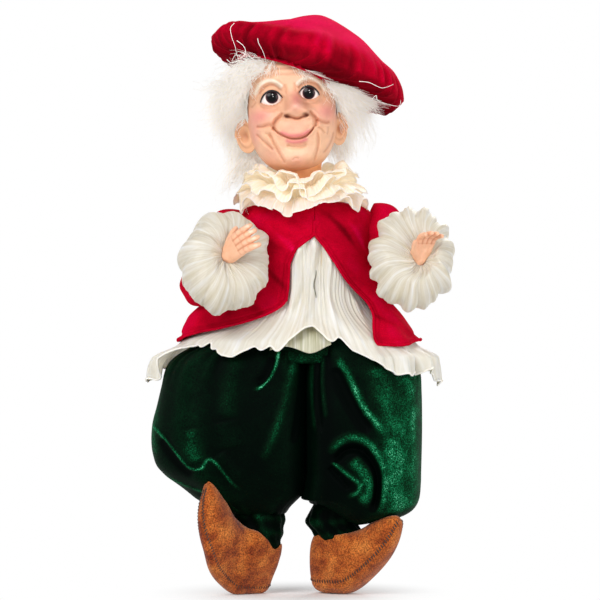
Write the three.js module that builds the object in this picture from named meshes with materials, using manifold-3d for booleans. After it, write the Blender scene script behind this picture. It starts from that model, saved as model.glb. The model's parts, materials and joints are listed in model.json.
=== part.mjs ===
// A posable elf doll with a resin head and hands, a stuffed body on a wire armature and sewn clothes.
// Millimetres, +Z up. The doll faces -Y and stands on its shoes at Z = 0.
// Left and right are the doll's own, so its right side lies at -X.
import * as THREE from "three";
import { mergeVertices } from "three/addons/utils/BufferGeometryUtils.js";
import Module from "manifold-3d";

const wasm = await Module();
wasm.setup();

// Gap between pieces that touch, and the thickness of each cloth
const FIT = 0.4;
const ORGANZA = 1.6;
const VELVET = 2;

// Where the doll stands against the middle of its own bounding box
const STANCE_X = 3.3;
const STANCE_Y = -0.5;

// Stuffed torso
const TORSO_X = 3;
const TORSO_BASE = 226;
const TORSO_TOP = 306;
const WAIST_HALF_WIDTH = 42;
const WAIST_HALF_DEPTH = 34;
const CHEST_HALF_WIDTH = 46;
const CHEST_HALF_DEPTH = 35;
const NECK_SEAT_RADIUS = 22;
const SPINE_WIRE_RADIUS = 1.8;
const SPINE_WIRE_TOP = 276;

// Neck
const NECK_X = -2;
const NECK_RADIUS = 16;
const NECK_RISE = 3;
const POST_RADIUS = 6;
const POST_BASE = 281;
const POST_TOP = 352;
const TIE_RADIUS = 12;

// Head, in a frame at the foot of the neck
const HEAD_ROLL = -5.5;
const HEAD_MIDDLE = 83;
const HEAD_HALF_WIDTH = 38;
const HEAD_HALF_DEPTH = 43;
const HEAD_HALF_HEIGHT = 52;
const HEAD_WALL = 4.5;
const EYE_SPACING = 28.6;
const EYE_RISE = 89;
const EYE_RADIUS = 9;
const EYE_DEPTH = 31.5;
const EAR_RISE = 66;

// Wig
const WIG_BASE = 45;
const WIG_TOP = 122;
const WIG_HALF_WIDTH = 62;
const WIG_HALF_DEPTH = 46;
const WIG_SHIFT_X = -7;
const WIG_SHIFT_Y = 12;
const FACE_OPENING_RADIUS = 45;

// Beret, in a frame at the middle of its rim
const BERET_RADIUS = 80;
const BERET_RISE = 43;
const BERET_DROP = 13;
const BERET_ROLL = 18.5;
const BERET_PITCH = -8;
const BERET_X = 5;
const BERET_Y = 15;
const BERET_Z = 110;
const BERET_GATHERS = 7;
const BAND_HALF_WIDTH = 43;
const BAND_HALF_DEPTH = 46;
const BAND_SHIFT_X = -13;
const BAND_SHIFT_Y = -13.5;
const BAND_HEIGHT = 9;

// Collar
const COLLAR_LOWER_RADIUS = 57;
const COLLAR_UPPER_RADIUS = 52;
const COLLAR_LOWER_RISE = 6;
const COLLAR_UPPER_RISE = 31;
const COLLAR_WAVE = 4.5;
const COLLAR_WAVES = 10;

// Jacket
const JACKET_TOP = 303;
const JACKET_HEM = 203;
const JACKET_SWING_TOP = 250;
const JACKET_SWING_WIDTH = 48;
const JACKET_SWING_DEPTH = 20;
const SKIRT_SHIFT = -7;
const JACKET_CLOSURE = 284;
const LEFT_FRONT_DROP = 7;
const LEFT_FRONT_SPREAD = 46;
const RIGHT_FRONT_SPREAD = 34;
const CLOSURE_TURN = 7;

// Shirt
const BODICE_BASE = 238;
const BODICE_TOP = 296;
const PEPLUM_FRONT = 192;
const PEPLUM_SIDE = 174;
const PEPLUM_BACK = 184;
const PEPLUM_SPREAD_WIDTH = 0.92;
const PEPLUM_SPREAD_DEPTH = 0.5;
const PEPLUM_WAVE = 4;
const PEPLUM_WAVES = 10;

// Bloomers above the legs
const HIP_HEIGHT = 170;
const HIP_RADIUS = 40;
const SEAT_X = -4;
const SEAT_HALF_WIDTH = 90;
const SEAT_HALF_DEPTH = 46;
const SEAT_BASE = 184;
const ELASTIC_HEIGHT = 6;

// Arms
const SLEEVE_RADIUS = 17.5;
const UPPER_ARM_RADIUS = 11;
const FOREARM_RADIUS = 11.5;
const WRIST_RADIUS = 8.5;
const FOREARM_LENGTH = 60;
const FOREARM_SWING = 20;
const ARM_WIRE_RADIUS = 1.5;
const PUFF_START = 22;
const PUFF_PLEATS = 8;
const FINGER_RADIUS = 2.6;
const ARMS = {
  right: {
    shoulder: [-58, 0, 288],
    elbow: [-79, -10, 249],
    heading: [0.36, -0.87, 0.3],
    puffHalfWidth: 34,
    puffHalfHeight: 39,
    fingers: [0.62, -0.52, 0.58],
    thumbSide: [-0.45, 0.3, 0.75],
  },
  left: {
    shoulder: [63, 0, 289],
    elbow: [81, -8, 250],
    heading: [0.08, -0.93, 0.34],
    puffHalfWidth: 31,
    puffHalfHeight: 40,
    fingers: [0.25, -0.72, 0.64],
    thumbSide: [-0.8, -0.1, 0.35],
  },
};

// Legs
const KNEE_BALL_RADIUS = 20.5;
const KNEE_PLAY = 0.5;
const KNEE_SWING = 30;
const CUFF_RADIUS = 19;
const THIGH_RADIUS = 15;
const SHIN_RADIUS = 12;
const LEG_WIRE_RADIUS = 2;
const ANKLE_HEIGHT = 40;
const BLOOMER_FOLD = 2.2;
const BLOOMER_FOLDS = 7;
const BLOOMER_SQUARENESS = 0.86;
const LEGS = {
  right: {
    hipX: -52,
    hipHalfWidth: 49,
    bellyX: -58.5,
    bellyHalfWidth: 57,
    bellyHalfDepth: 56,
    knee: [-36, -4, 81],
    hem: 75,
    toeTurn: -40,
  },
  left: {
    hipX: 48,
    hipHalfWidth: 46,
    bellyX: 47.5,
    bellyHalfWidth: 46,
    bellyHalfDepth: 56,
    knee: [30, -4, 74],
    hem: 68,
    toeTurn: 58,
  },
};

// Shoes, drawn as a sole line and a top line from heel to toe
const SHOE_HALF_WIDTH = 19;
const SOLE_THICKNESS = 3;
const SHOES = {
  right: { flat: 8, reach: 56, tip: 82 },
  left: { flat: 22, reach: 55, tip: 57 },
};

// Number of sides of the round and the wavy pieces
const WIRE_SIDES = 8;
const LIMB_SIDES = 10;
const FORM_SIDES = 24;
const RUFFLE_SIDES = 40;

const TAU = Math.PI * 2;
const UP = new THREE.Vector3(0, 0, 1);
const point = (x, y, z) => new THREE.Vector3(x, y, z);
const mix = (a, b, t) => a + (b - a) * t;
const rad = THREE.MathUtils.degToRad;

function ease(t) {
  const held = Math.min(1, Math.max(0, t));
  return held * held * (3 - 2 * held);
}

// Triangles between neighbouring rings of equal length
function bands(rings, looped) {
  const count = rings[0].length;
  const faces = [];
  const last = looped ? rings.length : rings.length - 1;
  for (let i = 0; i < last; i++) {
    const low = i * count;
    const high = ((i + 1) % rings.length) * count;
    for (let j = 0; j < count; j++) {
      const k = (j + 1) % count;
      faces.push(low + j, low + k, high + k, low + j, high + k, high + j);
    }
  }
  return faces;
}

function meshOf(points, faces) {
  const geometry = new THREE.BufferGeometry();
  geometry.setFromPoints(points);
  geometry.setIndex(faces);
  return geometry;
}

// A solid through a stack of rings, each end closed by a fan
function loft(rings) {
  const count = rings[0].length;
  const points = rings.flat();
  const faces = bands(rings, false);
  const low = points.length;
  const high = low + 1;
  const top = (rings.length - 1) * count;
  const middle = (ring) => ring.reduce((sum, p) => sum.add(p), point(0, 0, 0)).divideScalar(count);
  points.push(middle(rings[0]), middle(rings.at(-1)));
  for (let j = 0; j < count; j++) {
    const k = (j + 1) % count;
    faces.push(low, k, j, high, top + j, top + k);
  }
  return meshOf(points, faces);
}

// A solid with a hole through it, whose rings run up the outside and back down the inside
function hoop(rings) {
  return meshOf(rings.flat(), bands(rings, true));
}

// A curved sheet between two grids of points, closed along its four edges
function sheet(outer, inner) {
  const sections = inner.map((column, i) => [...column, ...[...outer[i]].reverse()]);
  const count = sections[0].length;
  const half = count / 2;
  const faces = bands(sections, false);
  const end = (sections.length - 1) * count;
  for (let j = 0; j + 1 < half; j++) {
    const a = j;
    const b = j + 1;
    const c = count - 1 - b;
    const d = count - 1 - a;
    faces.push(a, c, b, a, d, c);
    faces.push(end + a, end + b, end + c, end + a, end + c, end + d);
  }
  return meshOf(sections.flat(), faces);
}

// An oval ring at height z, turning from +X towards +Y, with a wave on its radius
function oval(x, y, z, width, depth, sides, wave = () => 0) {
  return Array.from({ length: sides }, (_, i) => {
    const turn = (i / sides) * TAU;
    const swell = wave(turn);
    return point(x + (width + swell) * Math.cos(turn), y + (depth + swell) * Math.sin(turn), z);
  });
}

// A ring like an oval whose quarters are fuller
function fullOval(x, y, z, width, depth, sides, squareness, wave) {
  const full = (share) => Math.sign(share) * Math.abs(share) ** squareness;
  return Array.from({ length: sides }, (_, i) => {
    const turn = (i / sides) * TAU;
    const swell = wave(turn);
    return point(x + (width + swell) * full(Math.cos(turn)), y + (depth + swell) * full(Math.sin(turn)), z);
  });
}

// Lays a geometry built up +Z from the origin along the line from one point to another
function along(geometry, from, to) {
  const heading = to.clone().sub(from).normalize();
  geometry.applyQuaternion(new THREE.Quaternion().setFromUnitVectors(UP, heading));
  return geometry.translate(from.x, from.y, from.z);
}

function rod(from, to, radius, sides = WIRE_SIDES) {
  const length = to.distanceTo(from);
  const ends = [0, length].map((z) => oval(0, 0, z, radius, radius, sides));
  return along(loft(ends), from, to);
}

// A tapered limb with a round start and a round or a flat end
function limb(from, to, startRadius, endRadius, sides = LIMB_SIDES, roundEnd = true) {
  const length = to.distanceTo(from);
  const arcs = [62, 31, 0].map(rad);
  const start = arcs.map((a) => [-startRadius * Math.sin(a), startRadius * Math.cos(a)]);
  const finish = arcs.map((a) => [length + endRadius * Math.sin(a), endRadius * Math.cos(a)]).reverse();
  const stations = [...start, ...(roundEnd ? finish : [[length, endRadius]])];
  return along(loft(stations.map(([z, r]) => oval(0, 0, z, r, r, sides))), from, to);
}

function ball(center, radius, sides = 16) {
  const geometry = new THREE.SphereGeometry(radius, sides, Math.round(sides * 0.6));
  return geometry.rotateX(Math.PI / 2).translate(center.x, center.y, center.z);
}

function egg(center, halfWidth, halfDepth, halfHeight, sides) {
  const geometry = new THREE.SphereGeometry(1, sides, Math.round(sides * 0.6)).rotateX(Math.PI / 2);
  return geometry.scale(halfWidth, halfDepth, halfHeight).translate(center.x, center.y, center.z);
}

// Joining and cutting
function solid(geometry) {
  const bare = geometry.clone();
  bare.deleteAttribute("normal");
  bare.deleteAttribute("uv");
  const merged = mergeVertices(bare, 1e-4);
  const mesh = new wasm.Mesh({
    numProp: 3,
    vertProperties: new Float32Array(merged.attributes.position.array),
    triVerts: new Uint32Array(merged.index.array),
  });
  return new wasm.Manifold(mesh);
}

function surface(body) {
  const mesh = body.getMesh();
  const geometry = new THREE.BufferGeometry();
  geometry.setAttribute("position", new THREE.Float32BufferAttribute(mesh.vertProperties, mesh.numProp));
  geometry.setIndex([...mesh.triVerts]);
  return geometry;
}

function join(...parts) {
  return surface(parts.map(solid).reduce((whole, part) => whole.add(part)));
}

function cut(geometry, ...tools) {
  return surface(tools.map(solid).reduce((whole, tool) => whole.subtract(tool), solid(geometry)));
}

// Materials
const finish = (color, roughness, metalness = 0) =>
  new THREE.MeshStandardMaterial({ color, roughness, metalness });
const RESIN = finish(0xe3ab88, 0.55);
const EYE = finish(0x1a1012, 0.1);
const MOHAIR = finish(0xe9e6df, 0.9);
const CRIMSON = finish(0xa8001e, 0.85);
const CREAM = finish(0xe8dcc3, 0.8);
const GREEN = finish(0x123c26, 0.7);
const SUEDE = finish(0xa8672f, 0.95);
const MUSLIN = finish(0xd9cbb2, 0.95);
const STEEL = finish(0x9a9a9a, 0.4, 1);
const WOOD = finish(0xc49a6c, 0.8);

const doll = new THREE.Group();
doll.name = "elf_doll";
doll.position.set(STANCE_X, STANCE_Y, 0);

function piece(parent, name, geometry, material) {
  geometry.deleteAttribute("normal");
  geometry.deleteAttribute("uv");
  const whole = mergeVertices(geometry, 1e-4);
  whole.computeVertexNormals();
  const mesh = new THREE.Mesh(whole, material);
  mesh.name = name;
  parent.add(mesh);
  return mesh;
}

function frame(parent, name, x, y, z) {
  const group = new THREE.Group();
  group.name = name;
  group.position.set(x, y, z);
  parent.add(group);
  return group;
}

// Half width and half depth of the stuffed torso at a height
function torsoOval(z) {
  const t = Math.min(1, Math.max(0, (z - TORSO_BASE) / (TORSO_TOP - TORSO_BASE)));
  const slope = ease((t - 0.76) / 0.24);
  const width = mix(WAIST_HALF_WIDTH, CHEST_HALF_WIDTH, ease(t / 0.6));
  const depth = mix(WAIST_HALF_DEPTH, CHEST_HALF_DEPTH, ease(t / 0.6));
  return { width: mix(width, NECK_SEAT_RADIUS, slope), depth: mix(depth, NECK_SEAT_RADIUS, slope) };
}

// The jacket follows the chest and swings out below the elbows
const JACKET_INSIDE = FIT + ORGANZA + 2.5 * FIT;
const JACKET_OUTSIDE = JACKET_INSIDE + VELVET;
function jacketOval(z, layer) {
  const base = torsoOval(z);
  const fall = Math.max(0, (JACKET_SWING_TOP - z) / (JACKET_SWING_TOP - JACKET_HEM));
  const swing = fall <= 1 ? fall * fall : 2 * fall - 1;
  return {
    x: TORSO_X + SKIRT_SHIFT * Math.min(1, fall) ** 2,
    width: base.width + layer + swing * JACKET_SWING_WIDTH,
    depth: base.depth + layer + swing * JACKET_SWING_DEPTH,
  };
}

// Heights that the layers of body and clothes share, so that they lie parallel
const bodyHeights = [
  JACKET_HEM - LEFT_FRONT_DROP,
  JACKET_HEM,
  mix(JACKET_HEM, TORSO_BASE, 1 / 3),
  mix(JACKET_HEM, TORSO_BASE, 2 / 3),
  TORSO_BASE,
  BODICE_BASE,
  JACKET_SWING_TOP,
  mix(JACKET_SWING_TOP, JACKET_CLOSURE, 0.5),
  JACKET_CLOSURE,
  mix(JACKET_CLOSURE, BODICE_TOP, 0.5),
  BODICE_TOP,
  JACKET_TOP,
  TORSO_TOP,
].sort((a, b) => a - b);
const heightsBetween = (low, high) => bodyHeights.filter((z) => z > low - 1e-6 && z < high + 1e-6);

const armholes = Object.values(ARMS).map((arm) => {
  const room = SLEEVE_RADIUS + 3 * FIT;
  return limb(point(...arm.shoulder), point(...arm.elbow), room, room, 12);
});

// Torso
const torsoRing = (z, layer) => {
  const size = torsoOval(z);
  return oval(TORSO_X, 0, z, size.width + layer, size.depth + layer, FORM_SIDES);
};
const torsoRings = heightsBetween(TORSO_BASE, TORSO_TOP).map((z) => torsoRing(z, 0));
const spineFoot = point(TORSO_X, 0, TORSO_BASE + 1);
const spineHead = point(TORSO_X, 0, SPINE_WIRE_TOP);
const spineBore = rod(
  point(TORSO_X, 0, TORSO_BASE - 1),
  point(TORSO_X, 0, SPINE_WIRE_TOP + FIT),
  SPINE_WIRE_RADIUS + FIT
);
const postBore = rod(point(NECK_X, 0, POST_BASE - FIT), point(NECK_X, 0, TORSO_TOP + 1), POST_RADIUS + FIT, 12);
piece(doll, "torso_stuffing", cut(loft(torsoRings), spineBore, postBore, ...armholes), MUSLIN);
piece(doll, "spine_wire", rod(spineFoot, spineHead, SPINE_WIRE_RADIUS), STEEL);
piece(doll, "neck_post", rod(point(NECK_X, 0, POST_BASE), point(NECK_X, 0, POST_TOP), POST_RADIUS, 12), WOOD);

const tieFoot = TORSO_TOP + FIT;
const tieTop = TORSO_TOP + NECK_RISE - FIT;
const tieRing = (z, r) => oval(NECK_X, 0, z, r, r, 12);
piece(
  doll,
  "neck_tie",
  hoop([
    tieRing(tieFoot, TIE_RADIUS),
    tieRing(tieTop, TIE_RADIUS),
    tieRing(tieTop, POST_RADIUS + FIT),
    tieRing(tieFoot, POST_RADIUS + FIT),
  ]),
  MUSLIN
);

// Head
const head = frame(doll, "head", NECK_X, 0, TORSO_TOP + NECK_RISE);
const rolled = (geometry) => geometry.rotateY(rad(HEAD_ROLL));
const FEATURES = [
  { x: 0, z: 74, spread: 6.5, rise: 11 },
  { x: 0, z: 52, spread: 9, rise: 5 },
  { x: 0, z: 38, spread: 8, rise: 6 },
  { x: 22, z: 70, spread: 9, rise: 3 },
  { x: -22, z: 70, spread: 9, rise: 3 },
  { x: 15, z: 101, spread: 6, rise: 2.5 },
  { x: -15, z: 101, spread: 6, rise: 2.5 },
];
function faceForm(grow) {
  const geometry = egg(
    point(0, 0, HEAD_MIDDLE),
    HEAD_HALF_WIDTH + grow,
    HEAD_HALF_DEPTH + grow,
    HEAD_HALF_HEIGHT + grow,
    22
  );
  const places = geometry.attributes.position;
  for (let i = 0; i < places.count; i++) {
    const y = places.getY(i);
    const rise = FEATURES.reduce((sum, f) => {
      const away = (places.getX(i) - f.x) ** 2 + (places.getZ(i) - f.z) ** 2;
      return sum + f.rise * Math.exp(-away / (2 * f.spread ** 2));
    }, 0);
    places.setY(i, y - rise * ease(-y / 12));
  }
  return geometry;
}
function headForm(grow) {
  const ears = [-1, 1].map((side) => {
    const ear = egg(point(0, 0, 0), 6 + grow, 4.5 + grow, 12 + grow, 8).rotateY(rad(side * 14));
    return ear.translate(side * (HEAD_HALF_WIDTH + 2), 6, EAR_RISE);
  });
  const neck = rod(point(0, 0, -grow), point(0, 0, HEAD_MIDDLE * 0.55), NECK_RADIUS + grow, 18);
  return join(rolled(faceForm(grow)), ...ears.map(rolled), neck);
}
const eyePlaces = [-1, 1].map((side) => point((side * EYE_SPACING) / 2, -EYE_DEPTH, EYE_RISE));
const sockets = eyePlaces.map((place) => rolled(ball(place, EYE_RADIUS + FIT, 14)));
const hollow = rolled(
  egg(
    point(0, 2, HEAD_MIDDLE),
    HEAD_HALF_WIDTH - HEAD_WALL,
    HEAD_HALF_DEPTH - HEAD_WALL,
    HEAD_HALF_HEIGHT - HEAD_WALL,
    12
  )
);
const neckBore = rod(point(0, 0, -1), point(0, 0, HEAD_MIDDLE), POST_RADIUS + FIT, 12);
piece(head, "head_shell", cut(headForm(0), hollow, neckBore, ...sockets), RESIN);
piece(head, "right_eye", rolled(ball(eyePlaces[0], EYE_RADIUS, 12)), EYE);
piece(head, "left_eye", rolled(ball(eyePlaces[1], EYE_RADIUS, 12)), EYE);

// Beret
const beretTurn = new THREE.Euler(rad(BERET_PITCH), rad(BERET_ROLL), 0, "YXZ");
const beret = frame(head, "beret", BERET_X, BERET_Y, BERET_Z);
beret.rotation.copy(beretTurn);
const beretPlace = new THREE.Matrix4().makeRotationFromEuler(beretTurn).setPosition(BERET_X, BERET_Y, BERET_Z);
const gather = (depth) => (turn) => depth * Math.sin(BERET_GATHERS * turn);
const beretRing = (r, z, depth) => oval(0, 0, z, r, r, FORM_SIDES, gather(depth));
const crownRise = (r) => BERET_RISE * (1 - 0.72 * (r / BERET_RADIUS) ** 1.1) * (1 - (r / BERET_RADIUS) ** 14);
const crownRadii = [0.12, 0.35, 0.6, 0.82, 0.95].map((t) => t * BERET_RADIUS);
const crownInside = crownRadii.map((r) => beretRing(r, crownRise(r) - VELVET, 0));
const crownOutside = [...crownRadii].reverse().map((r) => beretRing(r, crownRise(r), 0));
piece(
  beret,
  "beret_crown",
  loft([
    ...crownInside,
    beretRing(BERET_RADIUS - VELVET, FIT, 1.5),
    beretRing(BERET_RADIUS, FIT, 1.5),
    ...crownOutside,
  ]),
  CRIMSON
);

const underStations = [
  [0, -0.75, 0],
  [0.35, -1, 1],
  [0.75, -0.75, 2],
];
function underRing(t, z, layer, depth) {
  const width = mix(BAND_HALF_WIDTH + FIT, BERET_RADIUS - layer, t);
  const length = mix(BAND_HALF_DEPTH + FIT, BERET_RADIUS - layer, t);
  return oval(BAND_SHIFT_X * (1 - t), BAND_SHIFT_Y * (1 - t), z, width, length, FORM_SIDES, gather(depth));
}
const underBottom = underStations.map(([t, drop, depth]) => underRing(t, drop * BERET_DROP, 0, depth));
const underTop = underStations.map(([t, drop, depth]) => underRing(t, drop * BERET_DROP + VELVET, VELVET * t, depth));
const headGrown = headForm(FIT).applyMatrix4(beretPlace.clone().invert());
const underPanel = hoop([
  ...underBottom,
  underRing(1, 0, 0, 1.5),
  underRing(1, 0, VELVET, 1.5),
  ...underTop.reverse(),
]);
piece(beret, "beret_under_panel", cut(underPanel, headGrown), CRIMSON);

const bandLow = -0.75 * BERET_DROP - BAND_HEIGHT / 3;
const bandRing = (z, layer) =>
  oval(BAND_SHIFT_X, BAND_SHIFT_Y, z, BAND_HALF_WIDTH - layer, BAND_HALF_DEPTH - layer, FORM_SIDES);
const band = hoop([
  bandRing(bandLow, 0),
  bandRing(bandLow + BAND_HEIGHT, 0),
  bandRing(bandLow + BAND_HEIGHT, 4),
  bandRing(bandLow, 4),
]);
piece(beret, "beret_band", cut(band, headGrown), CRIMSON);

// Wig, cut to the skull, the face and the beret
const wigStations = [
  [0, 0.72],
  [0.15, 0.88],
  [0.4, 1],
  [0.7, 1],
  [1, 0.9],
];
const wigRings = wigStations.map(([t, size]) => {
  const z = mix(WIG_BASE, WIG_TOP, t);
  const lock = (turn) => 1.8 * Math.sin(11 * turn + 3 * t);
  return oval(WIG_SHIFT_X, WIG_SHIFT_Y, z, WIG_HALF_WIDTH * size, WIG_HALF_DEPTH * size, FORM_SIDES, lock);
});
const faceOpening = rod(
  point(0, -WIG_HALF_DEPTH - WIG_HALF_WIDTH, HEAD_MIDDLE - 12),
  point(0, 2, HEAD_MIDDLE - 12),
  FACE_OPENING_RADIUS,
  24
);
const beretFill = loft([
  underRing(0, -0.75 * BERET_DROP - FIT, -FIT, 0),
  underRing(0.35, -BERET_DROP - FIT, -FIT, 1),
  underRing(0.75, -0.75 * BERET_DROP - FIT, -FIT, 2),
  underRing(1, 0, -FIT, 1.5),
  oval(0, 0, BERET_RISE * 3, BERET_RADIUS * 1.1, BERET_RADIUS * 1.1, FORM_SIDES),
]).applyMatrix4(beretPlace);
const bandFill = loft([bandRing(bandLow - FIT, -FIT), bandRing(BERET_RISE, -FIT)]).applyMatrix4(beretPlace);
piece(
  head,
  "wig",
  cut(rolled(loft(wigRings)), headForm(FIT), rolled(faceOpening), beretFill, bandFill),
  MOHAIR
);

// Collar, two ruffles stacked on the neckline of the jacket
const collarSeat = TORSO_TOP + FIT;
function ruffle(seat, radius, rise, phase) {
  const start = NECK_RADIUS + 2 * FIT;
  const ledge = NECK_SEAT_RADIUS + JACKET_OUTSIDE;
  const stops = [
    [start, 0, 0],
    [ledge, 0, 0],
    [mix(ledge, radius, 0.5), 0.55, 0.5],
    [radius, 1, 1],
  ];
  const ring = ([r, lift, wave], up) => {
    const turns = oval(NECK_X, 0, 0, r, r, RUFFLE_SIDES);
    return turns.map((p, i) => {
      const turn = (i / RUFFLE_SIDES) * TAU;
      p.z = seat + up + lift * rise + wave * COLLAR_WAVE * Math.sin(COLLAR_WAVES * turn + phase);
      return p;
    });
  };
  const bottom = stops.map((stop) => ring(stop, 0));
  const top = stops.map((stop) => ring(stop, ORGANZA)).reverse();
  return hoop([...bottom, ...top]);
}
piece(doll, "collar_lower_ruffle", ruffle(collarSeat, COLLAR_LOWER_RADIUS, COLLAR_LOWER_RISE, 0), CREAM);
piece(
  doll,
  "collar_upper_ruffle",
  ruffle(collarSeat + ORGANZA + FIT, COLLAR_UPPER_RADIUS, COLLAR_UPPER_RISE, 0),
  CREAM
);

// Shirt bodice and peplum
const bodiceHeights = heightsBetween(BODICE_BASE, BODICE_TOP);
const bodice = hoop([
  ...bodiceHeights.map((z) => torsoRing(z, FIT + ORGANZA)),
  ...[...bodiceHeights].reverse().map((z) => torsoRing(z, FIT)),
]);
piece(doll, "shirt_bodice", cut(bodice, ...armholes), CREAM);

const PEPLUM_GAP = 2.5 * FIT;
function peplumPoint(turn, height, drop, layer) {
  const lean = Math.cos(turn) ** 2;
  const hem = mix(Math.sin(turn) < 0 ? PEPLUM_FRONT : PEPLUM_BACK, PEPLUM_SIDE, lean);
  const z = mix(height, hem, drop);
  const size = jacketOval(height, JACKET_INSIDE - PEPLUM_GAP - layer);
  const below = height - z;
  const wave = PEPLUM_WAVE * ease(below / 25) * Math.sin(PEPLUM_WAVES * turn);
  const width = size.width + below * PEPLUM_SPREAD_WIDTH + wave;
  const depth = size.depth + below * PEPLUM_SPREAD_DEPTH + wave;
  return point(size.x + width * Math.cos(turn), depth * Math.sin(turn), z);
}
const peplumSteps = [
  [JACKET_HEM, 1],
  [JACKET_HEM, 0.5],
  ...heightsBetween(JACKET_HEM, BODICE_BASE - 1).map((z) => [z, 0]),
  [BODICE_BASE - FIT, 0],
];
const peplumRing = ([height, drop], layer) =>
  Array.from({ length: RUFFLE_SIDES }, (_, i) => peplumPoint((i / RUFFLE_SIDES) * TAU, height, drop, layer));
piece(
  doll,
  "shirt_peplum",
  hoop([
    ...peplumSteps.map((step) => peplumRing(step, 0)),
    ...[...peplumSteps].reverse().map((step) => peplumRing(step, ORGANZA)),
  ]),
  CREAM
);

// Jacket panels, sewn at the sides and fastened at the breast
const SEAM = 0.3;
function jacketPanel(fromTurn, toTurn, drop, columns) {
  const rows = heightsBetween(JACKET_HEM - drop, JACKET_TOP);
  const grid = (layer) =>
    Array.from({ length: columns + 1 }, (_, i) =>
      rows.map((z) => {
        const turn = rad(mix(fromTurn(z), toTurn(z), i / columns));
        const size = jacketOval(z, layer);
        return point(size.x + size.width * Math.cos(turn), size.depth * Math.sin(turn), z);
      })
    );
  return sheet(grid(JACKET_OUTSIDE), grid(JACKET_INSIDE));
}
function frontEdge(spread) {
  return (z) => {
    const open = Math.max(0, (JACKET_CLOSURE - z) / (JACKET_CLOSURE - JACKET_HEM));
    return -90 + CLOSURE_TURN + spread * open;
  };
}
const rightEdge = frontEdge(-RIGHT_FRONT_SPREAD);
const leftEdge = frontEdge(LEFT_FRONT_SPREAD);
piece(
  doll,
  "jacket_back",
  cut(jacketPanel(() => SEAM, () => 180 - SEAM, 0, 12), ...armholes),
  CRIMSON
);
piece(
  doll,
  "jacket_right_front",
  cut(jacketPanel(() => -180 + SEAM, (z) => rightEdge(z) - SEAM, 0, 8), ...armholes),
  CRIMSON
);
piece(
  doll,
  "jacket_left_front",
  cut(jacketPanel((z) => leftEdge(z) + SEAM, () => -SEAM, LEFT_FRONT_DROP, 8), ...armholes),
  CRIMSON
);

// Seat of the bloomers, a saddle over the tops of the legs, and its waist elastic
const seatTop = TORSO_BASE - FIT;
const seatRings = [0, 0.35, 0.7, 1].map((t) => {
  const width = mix(SEAT_HALF_WIDTH, WAIST_HALF_WIDTH, t ** 1.6);
  const depth = mix(SEAT_HALF_DEPTH, WAIST_HALF_DEPTH, t ** 2);
  return oval(mix(SEAT_X, TORSO_X, t), 0, mix(SEAT_BASE, seatTop, t), width, depth, FORM_SIDES);
});
const hipReach = SEAT_HALF_WIDTH * 1.6;
const hipSocket = rod(
  point(-hipReach, 0, HIP_HEIGHT),
  point(hipReach, 0, HIP_HEIGHT),
  HIP_RADIUS + FIT + 0.2,
  40
);
piece(doll, "bloomer_seat", cut(loft(seatRings), hipSocket), GREEN);

const elasticFoot = TORSO_BASE + FIT;
piece(
  doll,
  "waist_elastic",
  hoop([
    torsoRing(elasticFoot, FIT + ORGANZA),
    torsoRing(elasticFoot + ELASTIC_HEIGHT, FIT + ORGANZA),
    torsoRing(elasticFoot + ELASTIC_HEIGHT, FIT),
    torsoRing(elasticFoot, FIT),
  ]),
  GREEN
);

// A finger with a blunt tip
function finger(from, to, radius) {
  const length = to.distanceTo(from);
  const stations = [
    [0, radius],
    [length, radius * 0.8],
    [length + radius * 0.6, radius * 0.45],
  ];
  return along(loft(stations.map(([z, r]) => oval(0, 0, z, r, r, 6))), from, to);
}

// A resin hand, its fingers up +Z from the wrist and its thumb towards +X
function handForm() {
  const palm = loft([
    oval(0, 0, 0, 6.2, 5.2, 10),
    oval(0, 0, 6, 7.2, 5, 10),
    oval(0, 0, 14, 10.2, 5, 10),
    oval(0, 0, 20, 10.8, 4.4, 10),
    oval(0, 0, 24, 9.6, 3.4, 10),
  ]);
  const fingers = [
    [7.2, 15, 4],
    [2.5, 18, 2],
    [-2.4, 17, -1],
    [-7.1, 13, -3],
  ].map(([x, length, fan]) =>
    finger(point(x, 0, 21), point(x + fan * 0.6, -4, 21 + length), FINGER_RADIUS)
  );
  const thumb = finger(point(7, -1, 8), point(16, -4, 18), FINGER_RADIUS * 1.15);
  return join(palm, ...fingers, thumb);
}

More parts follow.
